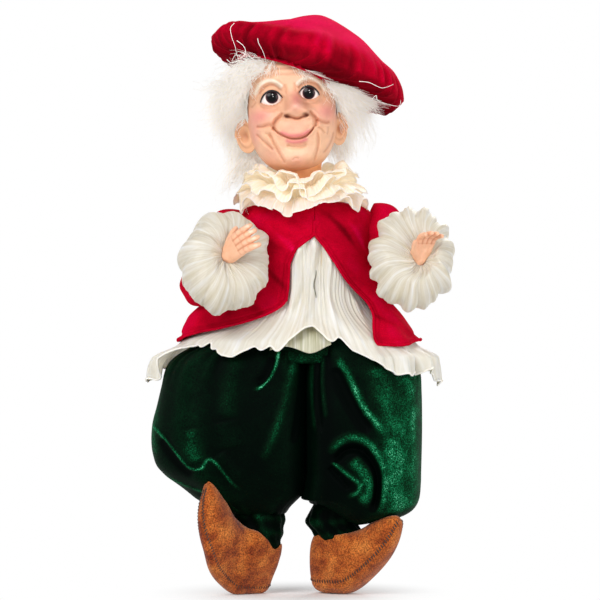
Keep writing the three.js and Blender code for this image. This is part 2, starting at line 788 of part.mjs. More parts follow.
// Arms
function buildArm(side) {
  const size = ARMS[side];
  const arm = frame(doll, `${side}_arm`, ...size.shoulder);
  const shoulder = point(0, 0, 0);
  const elbow = point(...size.elbow).sub(point(...size.shoulder));
  const heading = point(...size.heading).normalize();
  const reach = (d) => elbow.clone().addScaledVector(heading, d);
  const swept = [-FOREARM_SWING, 0, FOREARM_SWING].map((swing) => {
    const end = heading.clone().applyAxisAngle(point(1, 0, 0), rad(swing)).multiplyScalar(FOREARM_LENGTH).add(elbow);
    return rod(elbow, end, FOREARM_RADIUS + 2 * FIT, LIMB_SIDES);
  });
  const upperEnd = elbow.clone().multiplyScalar(0.58);

  // Velvet sleeve: a round top in the armhole and a cup that opens forward at the elbow
  const cup = rod(reach(FOREARM_RADIUS * 0.2), reach(SLEEVE_RADIUS * 3), SLEEVE_RADIUS * 0.93, 16);
  const lining = limb(shoulder, elbow, UPPER_ARM_RADIUS + FIT, FOREARM_RADIUS * 1.14);
  const sleeve = limb(shoulder, elbow, SLEEVE_RADIUS, SLEEVE_RADIUS, 16);
  piece(arm, `${side}_jacket_sleeve`, cut(sleeve, lining, cup, ...swept), CRIMSON);

  const upperBore = rod(shoulder, elbow, ARM_WIRE_RADIUS + FIT);
  const upperArm = limb(shoulder, upperEnd, UPPER_ARM_RADIUS, UPPER_ARM_RADIUS, LIMB_SIDES, false);
  piece(arm, `${side}_upper_arm`, cut(upperArm, upperBore), MUSLIN);
  piece(arm, `${side}_upper_arm_wire`, rod(elbow.clone().multiplyScalar(0.01), upperEnd, ARM_WIRE_RADIUS), STEEL);

  const wireEnd = reach(FOREARM_LENGTH + 8);
  const foreBore = rod(reach(0), reach(FOREARM_LENGTH + 1), ARM_WIRE_RADIUS + FIT);
  const forearm = limb(elbow, reach(FOREARM_LENGTH), FOREARM_RADIUS, WRIST_RADIUS, LIMB_SIDES, false);
  piece(arm, `${side}_forearm`, cut(forearm, foreBore), MUSLIN);
  piece(arm, `${side}_forearm_wire`, rod(reach(FIT), wireEnd, ARM_WIRE_RADIUS), STEEL);

  // Puff sleeve, gathered at both ends and pleated between
  const pleat = (depth) => (turn) => depth * Math.sin(PUFF_PLEATS * turn);
  const puffRing = (d, swell, depth) =>
    oval(0, 0, d, size.puffHalfWidth * swell, size.puffHalfHeight * swell, 32, pleat(depth));
  const boreRing = (d, r) => oval(0, 0, d, r, r, 32);
  const puffEnd = FOREARM_LENGTH + 6;
  const bore = FOREARM_RADIUS + FIT;
  const span = (t) => mix(PUFF_START, puffEnd, t);
  const puff = hoop([
    boreRing(span(0), bore + 2),
    puffRing(span(0.22), 0.5, 0.8),
    puffRing(span(0.38), 0.84, 2),
    puffRing(span(0.58), 1, 2.6),
    puffRing(span(0.8), 0.92, 2.4),
    puffRing(span(0.96), 0.66, 1.4),
    puffRing(span(0.92), 0.42, 0.6),
    boreRing(span(0.8), bore),
    boreRing(span(0), bore),
  ]);
  piece(arm, `${side}_puff_sleeve`, along(puff, elbow, reach(1)), CREAM);

  const elasticRing = (d, r) => oval(0, 0, d, r, r, LIMB_SIDES);
  const elasticStart = span(0.8) + FIT;
  const elastic = hoop([
    elasticRing(elasticStart, bore),
    elasticRing(elasticStart + 3, bore),
    elasticRing(elasticStart + 3, WRIST_RADIUS + FIT + 0.5),
    elasticRing(elasticStart, WRIST_RADIUS + FIT + 0.5),
  ]);
  const foreGrown = limb(elbow, reach(FOREARM_LENGTH + FIT), FOREARM_RADIUS + FIT, WRIST_RADIUS + FIT, 14, false);
  piece(arm, `${side}_wrist_elastic`, cut(along(elastic, elbow, reach(1)), foreGrown), CREAM);

  // Hand, turned so that its fingers and thumb point as they are posed
  const fingers = point(...size.fingers).normalize();
  const across = point(...size.thumbSide);
  const thumb = across.addScaledVector(fingers, -across.dot(fingers)).normalize();
  const palm = fingers.clone().cross(thumb);
  const wrist = reach(FOREARM_LENGTH + FIT);
  const basis = new THREE.Matrix4().makeBasis(thumb, palm, fingers).setPosition(wrist);
  const wireGrown = rod(reach(0), reach(FOREARM_LENGTH + 8 + FIT), ARM_WIRE_RADIUS + FIT);
  piece(arm, `${side}_hand`, cut(handForm().applyMatrix4(basis), foreGrown, wireGrown), RESIN);
}
buildArm("right");
buildArm("left");

// A shoe drawn from heel to toe along -Y, about the ankle axis at its middle
function shoeLines(shoe) {
  const rise = shoe.tip;
  const lift = (t) => rise * t ** 1.7;
  const run = shoe.reach - shoe.flat;
  const toe = [0.25, 0.5, 0.75, 0.93, 1].map((t) => ({
    low: [shoe.flat + run * (t ** 0.75), lift(t)],
    high: [mix(19, shoe.reach, t ** 1.1), Math.max(mix(ANKLE_HEIGHT, rise, t ** 1.2), lift(t) + 4)],
    width: Math.max(1, SHOE_HALF_WIDTH * (1 - t) ** 0.75),
  }));
  return [
    { low: [-18, 15], high: [-18, 34], width: SHOE_HALF_WIDTH * 0.5 },
    { low: [-15, 2.5], high: [-17, 44], width: SHOE_HALF_WIDTH * 0.84 },
    { low: [-8, 0], high: [-9, 48], width: SHOE_HALF_WIDTH * 0.97 },
    { low: [0, 0], high: [3, 48], width: SHOE_HALF_WIDTH },
    { low: [shoe.flat, 0], high: [15, 46], width: SHOE_HALF_WIDTH },
    ...toe,
  ];
}
function shoeRing(line, sides) {
  const [lowS, lowZ] = line.low;
  const [highS, highZ] = line.high;
  return Array.from({ length: sides }, (_, i) => {
    const turn = (i / sides) * TAU;
    const up = Math.sin(turn);
    const square = Math.sign(up) * Math.abs(up) ** 0.8;
    const t = (square + 1) / 2;
    const side = Math.sign(Math.cos(turn)) * Math.abs(Math.cos(turn)) ** 0.7;
    return point(line.width * side, -mix(lowS, highS, t), mix(lowZ, highZ, t));
  });
}
function soleRing(line, grow) {
  const [lowS, lowZ] = line.low;
  const [highS, highZ] = line.high;
  const tall = Math.hypot(highS - lowS, highZ - lowZ);
  const half = line.width * 0.86 + grow;
  const place = (side, t) => point(side, -mix(lowS, highS, t), mix(lowZ, highZ, t));
  const thick = (SOLE_THICKNESS + grow) / tall;
  const under = -grow / tall;
  return [
    place(half * 0.92, under),
    place(half, thick * 0.5),
    place(half * 0.92, thick),
    place(-half * 0.92, thick),
    place(-half, thick * 0.5),
    place(-half * 0.92, under),
  ];
}

// Legs
function buildLeg(side) {
  const size = LEGS[side];
  const knee = point(...size.knee);
  const leg = frame(doll, `${side}_leg`, 0, 0, 0);
  const hip = point(mix(size.hipX, size.knee[0], 0.2), 0, HIP_HEIGHT);
  const kneeSocket = ball(knee, KNEE_BALL_RADIUS + KNEE_PLAY + FIT, 20);

  // Bloomer leg: a round top that turns in the seat and a hanging balloon gathered at the knee
  const topEnds = [-1, -0.85, -0.55, 0, 0.55, 0.85, 1];
  const top = loft(
    topEnds.map((t) => {
      const r = HIP_RADIUS * (1 - 0.72 * Math.abs(t) ** 2.6);
      return oval(0, 0, t * size.hipHalfWidth, r, r, FORM_SIDES);
    })
  );
  top.rotateY(Math.PI / 2).translate(size.hipX, 0, HIP_HEIGHT);
  const fold = (depth) => (turn) => depth * BLOOMER_FOLD * Math.sin(BLOOMER_FOLDS * turn);
  const stations = [
    [0, 0.66, 0.52, 0],
    [0.07, 0.84, 0.7, 0.5],
    [0.2, 0.96, 0.9, 1],
    [0.45, 1, 1, 1],
    [0.7, 0.99, 0.97, 0.8],
    [0.9, 0.98, 0.86, 0.2],
    [1.08, 0, 0, 0],
  ];
  const balloon = loft(
    stations.map(([t, wide, deep, depth], i) => {
      const z = mix(size.hem, HIP_HEIGHT, t);
      const last = i === stations.length - 1;
      const gatheredX = mix(mix(size.knee[0], size.bellyX, 0.4), size.bellyX, ease((wide - 0.66) * 3.5));
      const x = last ? mix(size.hipX, size.bellyX, 0.6) : gatheredX;
      const width = last ? size.hipHalfWidth * 1.02 : size.bellyHalfWidth * wide;
      const length = last ? HIP_RADIUS * 0.84 : size.bellyHalfDepth * deep;
      return fullOval(x, 0, z, width, length, FORM_SIDES, BLOOMER_SQUARENESS, fold(depth));
    })
  );
  const thighEnd = hip.clone().lerp(knee, 1 - (KNEE_BALL_RADIUS + 2) / hip.distanceTo(knee));
  const thigh = (grow, end) => limb(hip, end, THIGH_RADIUS + grow, THIGH_RADIUS + grow, LIMB_SIDES, false);
  const mouth = (KNEE_BALL_RADIUS / Math.cos(rad(KNEE_SWING))) + (size.knee[2] - size.hem) * Math.tan(rad(KNEE_SWING));
  const relief = rod(
    point(size.knee[0], size.knee[1], size.hem - 2),
    point(size.knee[0], size.knee[1], size.knee[2] + 3),
    mouth + 0.5,
    20
  );
  piece(leg, `${side}_bloomer_leg`, cut(join(top, balloon), thigh(FIT, knee), kneeSocket, relief), GREEN);

  const thighBore = rod(hip, knee, LEG_WIRE_RADIUS + FIT);
  piece(leg, `${side}_thigh`, cut(thigh(0, thighEnd), thighBore), MUSLIN);
  piece(leg, `${side}_thigh_wire`, rod(hip.clone().lerp(knee, 0.01), thighEnd, LEG_WIRE_RADIUS), STEEL);

  // Velvet cuff over the shin, with a round top in the mouth of the bloomer leg
  const ankle = point(size.knee[0], size.knee[1], ANKLE_HEIGHT + FIT);
  const shinTop = KNEE_BALL_RADIUS * 0.9 - SHIN_RADIUS;
  const shinHead = point(size.knee[0], size.knee[1], size.knee[2] + shinTop - VELVET);
  const shin = (grow, low) => limb(shinHead, point(ankle.x, ankle.y, low), SHIN_RADIUS + grow, SHIN_RADIUS + grow, 14, false);
  const cuff = join(ball(knee, KNEE_BALL_RADIUS, 16), rod(ankle, knee, CUFF_RADIUS, 16));
  piece(leg, `${side}_ankle_cuff`, cut(cuff, shin(FIT, ankle.z - 1)), GREEN);
  const wireFoot = point(ankle.x, ankle.y, ANKLE_HEIGHT * 0.5);
  const wireHead = point(ankle.x, ankle.y, size.knee[2] - 4);
  const shinBore = rod(point(ankle.x, ankle.y, ankle.z - 1), point(ankle.x, ankle.y, wireHead.z + FIT), LEG_WIRE_RADIUS + FIT);
  piece(leg, `${side}_shin`, cut(shin(0, ankle.z), shinBore), MUSLIN);
  piece(leg, `${side}_shin_wire`, rod(wireFoot, wireHead, LEG_WIRE_RADIUS), STEEL);

  // Shoe, turned out about the ankle
  const foot = frame(leg, `${side}_foot`, size.knee[0], size.knee[1], 0);
  foot.rotation.z = rad(size.toeTurn);
  const lines = shoeLines(SHOES[side]);
  const soleLines = lines.slice(1, -1);
  const sole = (grow) => loft(soleLines.map((line) => soleRing(line, grow)));
  const mouthCut = rod(point(0, 0, ANKLE_HEIGHT), point(0, 0, ANKLE_HEIGHT + 22), CUFF_RADIUS + 2, 24);
  const wireSeat = rod(point(0, 0, ANKLE_HEIGHT * 0.5 - FIT), point(0, 0, ANKLE_HEIGHT + 1), LEG_WIRE_RADIUS + FIT);
  const upper = loft(lines.map((line) => shoeRing(line, 16)));
  piece(foot, `${side}_shoe_upper`, cut(upper, sole(FIT), mouthCut, wireSeat), SUEDE);
  piece(foot, `${side}_shoe_sole`, sole(0), SUEDE);
}
buildLeg("right");
buildLeg("left");

export default doll;
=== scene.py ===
# An elf doll with a resin head and hands, a stuffed body on a wire armature and sewn clothes.
# It stands in the frame of its CAD model and faces -Y. Left and right are the doll's own.
# Shapes are written in millimetres in the doll's own frame, and ORIGIN moves them to the model's.
import json
import math

import bmesh
import bpy
import numpy as np
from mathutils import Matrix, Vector


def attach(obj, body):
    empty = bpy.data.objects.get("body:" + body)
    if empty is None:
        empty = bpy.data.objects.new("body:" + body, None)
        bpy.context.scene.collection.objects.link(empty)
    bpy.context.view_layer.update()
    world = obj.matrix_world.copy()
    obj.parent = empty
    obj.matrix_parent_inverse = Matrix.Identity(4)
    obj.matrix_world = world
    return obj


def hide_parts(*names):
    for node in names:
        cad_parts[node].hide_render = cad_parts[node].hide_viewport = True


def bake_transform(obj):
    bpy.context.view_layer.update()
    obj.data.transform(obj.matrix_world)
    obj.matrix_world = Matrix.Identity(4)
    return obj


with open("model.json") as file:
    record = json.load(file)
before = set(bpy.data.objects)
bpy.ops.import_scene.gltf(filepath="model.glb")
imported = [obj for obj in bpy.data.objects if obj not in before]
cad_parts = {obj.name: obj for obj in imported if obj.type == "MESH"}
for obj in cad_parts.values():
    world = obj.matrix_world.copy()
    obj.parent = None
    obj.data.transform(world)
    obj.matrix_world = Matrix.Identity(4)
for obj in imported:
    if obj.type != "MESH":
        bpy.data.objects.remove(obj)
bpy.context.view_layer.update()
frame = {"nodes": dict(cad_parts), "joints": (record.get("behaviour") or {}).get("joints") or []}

# Stage: a white paper floor, soft lamps to the left, right and behind, and a long lens.
# The lens looks level from the height of the doll's middle, so nothing is foreshortened.
MM = 0.001
FRAME_WIDTH = 480 * MM
LENS = 200
SENSOR = 36
LENS_X = 0.9 * MM
LENS_HEIGHT = 234.4 * MM
WHITE = (1, 1, 1, 1)
PAPER_COLOUR = (0.92, 0.92, 0.92, 1)
PAPER_ROUGHNESS = 0.9
FLOOR_HALF = 4.0
SHADOW_INNER = 0.02
SHADOW_OUTER = 0.13
# Lamps: place, size and power
LAMPS = {
    "key_lamp": ((-1.1, -1.9, 1.5), 1.4, 40),
    "fill_lamp": ((1.7, -1.5, 0.7), 1.4, 17),
    "back_lamp": ((0.6, 1.5, 1.5), 1.0, 14),
}
AMBIENT = 0.42


def srgb(code):
    """The linear colour of a colour written as six hexadecimal digits."""
    parts = [int(code[i : i + 2], 16) / 255 for i in (0, 2, 4)]
    linear = [p / 12.92 if p <= 0.04045 else ((p + 0.055) / 1.055) ** 2.4 for p in parts]
    return (*linear, 1.0)


def fill(node, **values):
    """A node with its sockets and settings filled in by name."""
    for name, value in values.items():
        socket = node.inputs.get(name.replace("_", " "))
        if socket is not None:
            socket.default_value = value
        else:
            setattr(node, name, value)
    return node


def add_node(nodes, kind, **values):
    """A new shader node with its sockets and settings filled in by name."""
    return fill(nodes.new("ShaderNode" + kind), **values)


def new_material(name, colour, roughness):
    """A material with its nodes, its links and its main shader."""
    material = bpy.data.materials.new(name)
    material.use_nodes = True
    nodes = material.node_tree.nodes
    shader = fill(nodes["Principled BSDF"], Base_Color=colour, Roughness=roughness)
    return material, nodes, material.node_tree.links, shader


def seen_directly(nodes, links):
    """One for rays from the lens and for those in gloss and glass."""
    path = add_node(nodes, "LightPath")
    gloss = add_node(nodes, "Math", operation="ADD", use_clamp=True)
    total = add_node(nodes, "Math", operation="ADD", use_clamp=True)
    links.new(path.outputs["Is Camera Ray"], gloss.inputs[0])
    links.new(path.outputs["Is Glossy Ray"], gloss.inputs[1])
    links.new(gloss.outputs[0], total.inputs[0])
    links.new(path.outputs["Is Transmission Ray"], total.inputs[1])
    return total.outputs[0]


scene = bpy.context.scene
scene.view_settings.view_transform = "Standard"
camera_data = bpy.data.cameras.new("camera")
camera_data.lens = LENS
camera_data.sensor_width = SENSOR
camera = bpy.data.objects.new("camera", camera_data)
camera.location = (LENS_X, -FRAME_WIDTH * LENS / SENSOR, LENS_HEIGHT)
camera.rotation_euler = (math.pi / 2, 0, 0)
scene.collection.objects.link(camera)
scene.camera = camera

for lamp_name, (place, size, power) in LAMPS.items():
    lamp = bpy.data.lights.new(lamp_name, "AREA")
    lamp.shape = "DISK"
    lamp.size = size
    lamp.energy = power
    lamp_object = bpy.data.objects.new(lamp_name, lamp)
    lamp_object.location = place
    aim = Vector((0, 0, LENS_HEIGHT)) - Vector(place)
    lamp_object.rotation_euler = aim.to_track_quat("-Z", "Y").to_euler()
    scene.collection.objects.link(lamp_object)

world = bpy.data.worlds.new("studio")
world.use_nodes = True
scene.world = world
world_nodes, world_links = world.node_tree.nodes, world.node_tree.links
ambient = fill(world_nodes["Background"], Color=WHITE, Strength=AMBIENT)
backdrop = add_node(world_nodes, "Background", Color=WHITE, Strength=1.0)
chosen = add_node(world_nodes, "MixShader")
world_links.new(seen_directly(world_nodes, world_links), chosen.inputs[0])
world_links.new(ambient.outputs[0], chosen.inputs[1])
world_links.new(backdrop.outputs[0], chosen.inputs[2])
world_links.new(chosen.outputs[0], world_nodes["World Output"].inputs["Surface"])

floor_mesh = bpy.data.meshes.new("floor")
floor_corners = [(-1, -1), (1, -1), (1, 1), (-1, 1)]
floor_mesh.from_pydata([(x * FLOOR_HALF, y * FLOOR_HALF, 0) for x, y in floor_corners], [], [(0, 1, 2, 3)])
floor = bpy.data.objects.new("floor", floor_mesh)
scene.collection.objects.link(floor)
paper, paper_nodes, paper_links, paper_shader = new_material("white_paper", PAPER_COLOUR, PAPER_ROUGHNESS)
glow = add_node(paper_nodes, "Emission", Color=WHITE, Strength=1.0)
paper_place = add_node(paper_nodes, "TexCoord")
paper_reach = add_node(paper_nodes, "VectorMath", operation="LENGTH")
paper_fade = add_node(paper_nodes, "MapRange", interpolation_type="SMOOTHSTEP")
fill(paper_fade, From_Min=SHADOW_INNER, From_Max=SHADOW_OUTER)
paper_seen = add_node(paper_nodes, "Math", operation="MULTIPLY")
paper_mix = add_node(paper_nodes, "MixShader")
paper_links.new(paper_place.outputs["Object"], paper_reach.inputs[0])
paper_links.new(paper_reach.outputs["Value"], paper_fade.inputs["Value"])
paper_links.new(paper_fade.outputs["Result"], paper_seen.inputs[0])
paper_links.new(seen_directly(paper_nodes, paper_links), paper_seen.inputs[1])
paper_links.new(paper_seen.outputs[0], paper_mix.inputs[0])
paper_links.new(paper_shader.outputs[0], paper_mix.inputs[1])
paper_links.new(glow.outputs[0], paper_mix.inputs[2])
paper_links.new(paper_mix.outputs[0], paper_nodes["Material Output"].inputs["Surface"])
floor_mesh.materials.append(paper)

# Armature and stuffing: bent steel wires and a turned wooden neck post inside muslin limbs.
# The torso and limbs are sewn from unbleached muslin, stuffed hard and closed round the wires.
NECK_PIVOT = np.array([-2.0, 0.0, 306.0])
pivot = {j["name"]: np.array(j["pos_m"]) / MM for j in frame["joints"]}
ORIGIN = pivot["head_turn"] - NECK_PIVOT
MUSLIN_COLOUR = srgb("D8C9AC")
STEEL_COLOUR = srgb("9A9A98")
BEECH_COLOUR = srgb("C49A6C")
# The body that carries each stuffed node
MUSLIN_BODIES = {"torso_stuffing": "torso", "neck_tie": "torso"}
for limb in ("upper_arm", "forearm", "thigh", "shin"):
    for side in ("right", "left"):
        MUSLIN_BODIES[f"{side}_{limb}"] = f"{side}_{limb}"


def grain_group():
    """Cloudy shade and fine grain over a surface, for any material."""
    tree = bpy.data.node_groups.new("cloud_and_grain", "ShaderNodeTree")
    for name, value in (("Cloud Scale", 40.0), ("Grain Scale", 900.0), ("Stretch", 1.0)):
        socket = tree.interface.new_socket(name, in_out="INPUT", socket_type="NodeSocketFloat")
        socket.default_value = value
    for name in ("Cloud", "Grain"):
        tree.interface.new_socket(name, in_out="OUTPUT", socket_type="NodeSocketFloat")
    given = tree.nodes.new("NodeGroupInput")
    result = tree.nodes.new("NodeGroupOutput")
    place = add_node(tree.nodes, "TexCoord")
    axes = add_node(tree.nodes, "CombineXYZ", X=1.0, Y=1.0)
    drawn = add_node(tree.nodes, "VectorMath", operation="MULTIPLY")
    cloud = add_node(tree.nodes, "TexNoise", Detail=4.0, Roughness=0.6)
    grain = add_node(tree.nodes, "TexNoise", Detail=2.0, Roughness=0.7)
    tree.links.new(given.outputs["Stretch"], axes.inputs["Z"])
    tree.links.new(place.outputs["Object"], drawn.inputs[0])
    tree.links.new(axes.outputs[0], drawn.inputs[1])
    tree.links.new(place.outputs["Object"], cloud.inputs["Vector"])
    tree.links.new(drawn.outputs[0], grain.inputs["Vector"])
    tree.links.new(given.outputs["Cloud Scale"], cloud.inputs["Scale"])
    tree.links.new(given.outputs["Grain Scale"], grain.inputs["Scale"])
    tree.links.new(cloud.outputs[0], result.inputs["Cloud"])
    tree.links.new(grain.outputs[0], result.inputs["Grain"])
    return tree


GRAIN = grain_group()


def add_grain(nodes, cloud, grain, stretch=1.0):
    """The cloud and grain group with its own sizes."""
    made = nodes.new("ShaderNodeGroup")
    made.node_tree = GRAIN
    return fill(made, Cloud_Scale=cloud, Grain_Scale=grain, Stretch=stretch)


def ramp(nodes, links, value, stops):
    """Colours along a value, from pairs of place and colour."""
    made = add_node(nodes, "ValToRGB")
    band = made.color_ramp
    while len(band.elements) < len(stops):
        band.elements.new(0.5)
    for element, (place, colour) in zip(band.elements, stops):
        element.position = place
        element.color = colour
    links.new(value, made.inputs[0])
    return made.outputs[0]


def add_bump(nodes, links, shader, height, strength, depth):
    """Fine relief on a material."""
    bump = add_node(nodes, "Bump", Strength=strength, Distance=depth)
    links.new(height, bump.inputs["Height"])
    links.new(bump.outputs[0], shader.inputs["Normal"])


def shaded(colour, factor):
    """A colour made lighter or darker."""
    return (*[min(1.0, c * factor) for c in colour[:3]], 1.0)


def grey(level):
    """A grey of a given level."""
    return (level, level, level, 1)


def grained(name, colour, roughness, sizes, stops, target="Base Color", kind="Grain", relief=None):
    """A material in which one input of the shader follows a cloud or a grain, with relief if it is given."""
    material, nodes, links, shader = new_material(name, colour, roughness)
    grain = add_grain(nodes, *sizes)
    links.new(ramp(nodes, links, grain.outputs[kind], stops), shader.inputs[target])
    if relief:
        add_bump(nodes, links, shader, grain.outputs["Grain"], *relief)
    return material


muslin_tones = [(0.3, shaded(MUSLIN_COLOUR, 0.85)), (0.7, MUSLIN_COLOUR)]
muslin = grained("muslin", MUSLIN_COLOUR, 0.95, (60, 1400), muslin_tones, kind="Cloud", relief=(0.4, 0.0004))
steel_gloss = [(0.3, grey(0.28)), (0.7, grey(0.5))]
steel = grained("steel_wire", STEEL_COLOUR, 0.35, (80, 600, 0.1), steel_gloss, target="Roughness")
fill(steel.node_tree.nodes["Principled BSDF"], Metallic=1.0)
beech_tones = [(0.3, shaded(BEECH_COLOUR, 0.7)), (0.7, BEECH_COLOUR)]
beech = grained("beech", BEECH_COLOUR, 0.6, (50, 700, 0.08), beech_tones, relief=(0.2, 0.0003))
for node_name, node_object in frame["nodes"].items():
    if node_name.endswith("_wire") or node_name == "neck_post":
        node_object.data.materials.clear()
        node_object.data.materials.append(beech if node_name == "neck_post" else steel)


def new_object(name, mesh, material):
    """A piece at the origin with one material and smooth faces."""
    made = bpy.data.objects.new(name, mesh)
    mesh.materials.clear()
    mesh.materials.append(material)
    mesh.shade_smooth()
    scene.collection.objects.link(made)
    return made


def soft_copy(name, node_name, material):
    """A rounded copy of a CAD solid, for stuffing and bands inside the clothes."""
    mesh = frame["nodes"][node_name].data.copy()
    whole = bmesh.new()
    whole.from_mesh(mesh)
    bmesh.ops.remove_doubles(whole, verts=whole.verts, dist=1e-5)
    bmesh.ops.triangulate(whole, faces=whole.faces)
    whole.to_mesh(mesh)
    whole.free()
    mesh.name = name
    made = new_object(name, mesh, material)
    softened = made.modifiers.new("softened", "SUBSURF")
    softened.levels = 1
    softened.render_levels = 1
    return made


def wear(piece, body, slot, *replaced):
    """A piece that rides on a body, in place of the CAD nodes named; the slot it is given is not used."""
    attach(piece, body)
    if replaced:
        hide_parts(*replaced)


for member, body in MUSLIN_BODIES.items():
    stuffed = soft_copy(member + "_muslin", member, muslin)
    wear(stuffed, body, "muslin", member)

# Head: a hollow resin casting, face, ears and neck in one, painted by hand.
# Brown paint lies in the creases, partly the doll's own painted lines and partly painted shade, and the
# cheeks, lips and nose are tinted with rose.
HEAD_FOOT = np.array([-2.0, 0.0, 309.0])
HEAD_ROLL = math.radians(5.5)
HEAD_ROWS = 250
HEAD_COLUMNS = 280
FRONT_CROWDING = 0.5
HEAD_SQUARENESS = 0.9
FACE_EDGE = 3
FACE_FADE = 14
# Height, half width, depth in front and depth behind
HEAD_PROFILE = [
    (27, 0, 0, 0),
    (29, 12, 20, 8),
    (33, 20, 29, 13),
    (39, 26, 34, 19),
    (47, 31, 36.5, 26),
    (56, 34, 38, 33),
    (66, 35.5, 39, 38),
    (76, 36, 39.5, 41),
    (88, 36, 40, 42.5),
    (100, 35, 40, 42),
    (112, 31.5, 36.5, 38),
    (122, 24.5, 28, 30),
    (130, 13.5, 15.5, 17),
    (134, 0, 0, 0),
]
EYE_CENTRES = [(-14.4, 87.0), (15.2, 87.8)]
EYE_BACK = 27.2
EYE_BALL = 10.9
LID_THICKNESS = 1.0
LID_REACH = 1.2
LID_FADE = 3.0
LID_PAINT_WIDTH = 1.3
SOCKET_DEPTH = 1.8
SOCKET_FADE = 0.6
UPPER_LIDS = [
    [(-23.8, 84.0), (-21.6, 88.3), (-18, 91.3), (-14.3, 92.2), (-10.2, 90.9), (-7.2, 88), (-5.8, 86.2)],
    [(6.8, 88.4), (9.2, 91.1), (12.3, 92.9), (16, 93), (19.8, 90.8), (22.4, 87.6), (23.2, 85.2)],
]
LOWER_LIDS = [
    [(-5.8, 86.2), (-8, 83.2), (-12, 81.2), (-16, 80.9), (-20.5, 82.2), (-23.8, 84.0)],
    [(23.2, 85.2), (20.5, 83.4), (16, 82.6), (11.5, 83.5), (8.5, 86), (6.8, 88.4)],
]
# Swellings: place, spread across and up, height
SWELLINGS = [
    (1.6, 88, 4.2, 6, 2.2),
    (2.8, 81, 4.2, 5, 4.2),
    (4.4, 76.8, 5.8, 5.0, 11.0),
    (-4.6, 73.4, 3.2, 3.0, 5.6),
    (12.0, 73.0, 3.2, 3.0, 5.6),
    (1.6, 62, 10.5, 6.5, 5.4),
    (-8, 63, 5.5, 5, 1.6),
    (11, 62.5, 5.5, 5, 1.6),
    (1.7, 49.9, 6.0, 1.7, 3.2),
    (1.5, 55.6, 8.0, 1.8, 2.0),
    (0.7, 37.5, 10, 5.5, 4.6),
    (-24, 72, 8.5, 6.5, 4.2),
    (27, 70.5, 8, 6.5, 4.4),
    (-22, 51, 7, 8, 2.6),
    (25, 50, 7, 8, 2.6),
    (-14.4, 87, 10, 7, -4.4),
    (15.2, 87.8, 10, 7, -4.4),
    (1.2, 97, 5, 4, -0.8),
]
# Brows: the ridge over each eye, painted pale
BROWS = [
    [(-26.5, 92.0), (-23.5, 97.3), (-17.6, 100.4), (-11.5, 99.4), (-6.4, 95.0)],
    [(7.0, 95.6), (11, 98.6), (16.5, 99.6), (23, 96.8), (28.2, 90)],
]
BROW_HEIGHT = 2.2
BROW_WIDTH = 1.9
BROW_PAINT_WIDTH = 1.7
CREASE_DEPTH = 1.2
BANK_HEIGHT = 0.25
BANK_OFFSET = 2.4
# Creases: line, width, height, how dark the brown paint, partly painted shade, lies in it
CREASES = [
    ([(-24.5, 89.8), (-20.5, 94.6), (-15, 96.8), (-10, 95.4), (-5.6, 90.6)], 1.1, -1.7, 0.75),
    ([(6.4, 91.8), (10, 95), (16, 96.2), (21.5, 93.6), (25.5, 88)], 1.1, -1.7, 0.75),
    ([(-6.8, 72.2), (-4.4, 70.4), (-1.2, 69.6), (4, 68.0), (8.6, 69.2), (11.8, 69.8), (14.2, 71.8)],
     0.8, -2.8, 1.3),
    ([(-6.8, 74.5), (-8.6, 71.6), (-12.8, 68.2), (-15.2, 64.2), (-14.6, 60)], 1.2, -2.8, 0.85),
    ([(14.2, 74.2), (15.6, 71), (18.2, 67.2), (18.4, 63.4), (16.6, 60.4)], 1.2, -2.8, 0.85),
    ([(-29, 65.6), (-24, 64.8), (-19.5, 65.4), (-15.6, 64.6)], 1.0, -2.2, 0.7),
    ([(18.4, 66.6), (22, 64.6), (26.5, 63.6), (30, 64.4)], 1.0, -2.2, 0.7),
    ([(-16.5, 65), (-15, 62.2), (-12, 58.4), (-7.7, 55.4), (-3, 53.3), (1.5, 52.5), (6, 52.9), (10.4, 54.6),
      (14.4, 58), (16.8, 61.4), (18, 64)], 0.6, -2.6, 1.3),
    ([(-6.6, 48.6), (-2, 46.6), (2, 46.2), (6, 46.5), (10.2, 48.4)], 1.2, -1.6, 0.3),
    ([(-29.5, 60.5), (-25.6, 55.4), (-21, 50), (-16.4, 45)], 0.85, -1.9, 0.65),
    ([(-22.6, 59.6), (-19.4, 57.6), (-17.2, 55.2)], 0.8, -1.0, 0.45),
    ([(-19.2, 60.6), (-16.8, 53), (-13.7, 45.2), (-9.8, 36.6), (-8, 33)], 0.85, -1.5, 0.5),
    ([(18.6, 58), (19.2, 51), (18, 44.5), (15.6, 38), (13.4, 33)], 0.85, -1.5, 0.5),
    ([(32, 57), (30, 51), (26.3, 44.7), (21, 39.5)], 0.85, -1.7, 0.6),
    ([(19, 60.4), (22.4, 58.6), (25, 54.6)], 0.8, -1.1, 0.5),
    ([(27.4, 60.4), (27.6, 57), (26.4, 54)], 0.7, -0.8, 0.4),
    ([(-3.2, 36.0), (-0.6, 37.6), (2.6, 36.6)], 0.7, -0.7, 0.3),
    ([(-24.8, 81.6), (-20, 78.6), (-14, 77.6), (-8.4, 79.4)], 1.1, -0.9, 0.3),
    ([(8.6, 80.4), (14, 79.2), (20, 79.8), (24.6, 82.4)], 1.1, -0.9, 0.3),
    ([(-27.2, 85.2), (-29.6, 82.4), (-31.4, 81.6)], 0.8, -0.8, 0.4),
    ([(-27.6, 87.4), (-30.6, 87.6)], 0.8, -0.7, 0.35),
    ([(26.6, 86), (29.6, 84)], 0.8, -0.7, 0.35),
    ([(-3.2, 96.6), (-2.4, 92.2), (-3.4, 88.4)], 0.8, -0.8, 0.4),
    ([(4.4, 97.4), (4.6, 93), (5.6, 89.6)], 0.8, -0.8, 0.4),
    ([(-19, 104), (-10, 105.4), (0, 104.2), (9, 105), (18, 103)], 0.9, -0.7, 0.25),
    ([(-16, 108.4), (-6, 109.4), (4, 108.6), (15, 108.4)], 0.9, -0.6, 0.2),
]
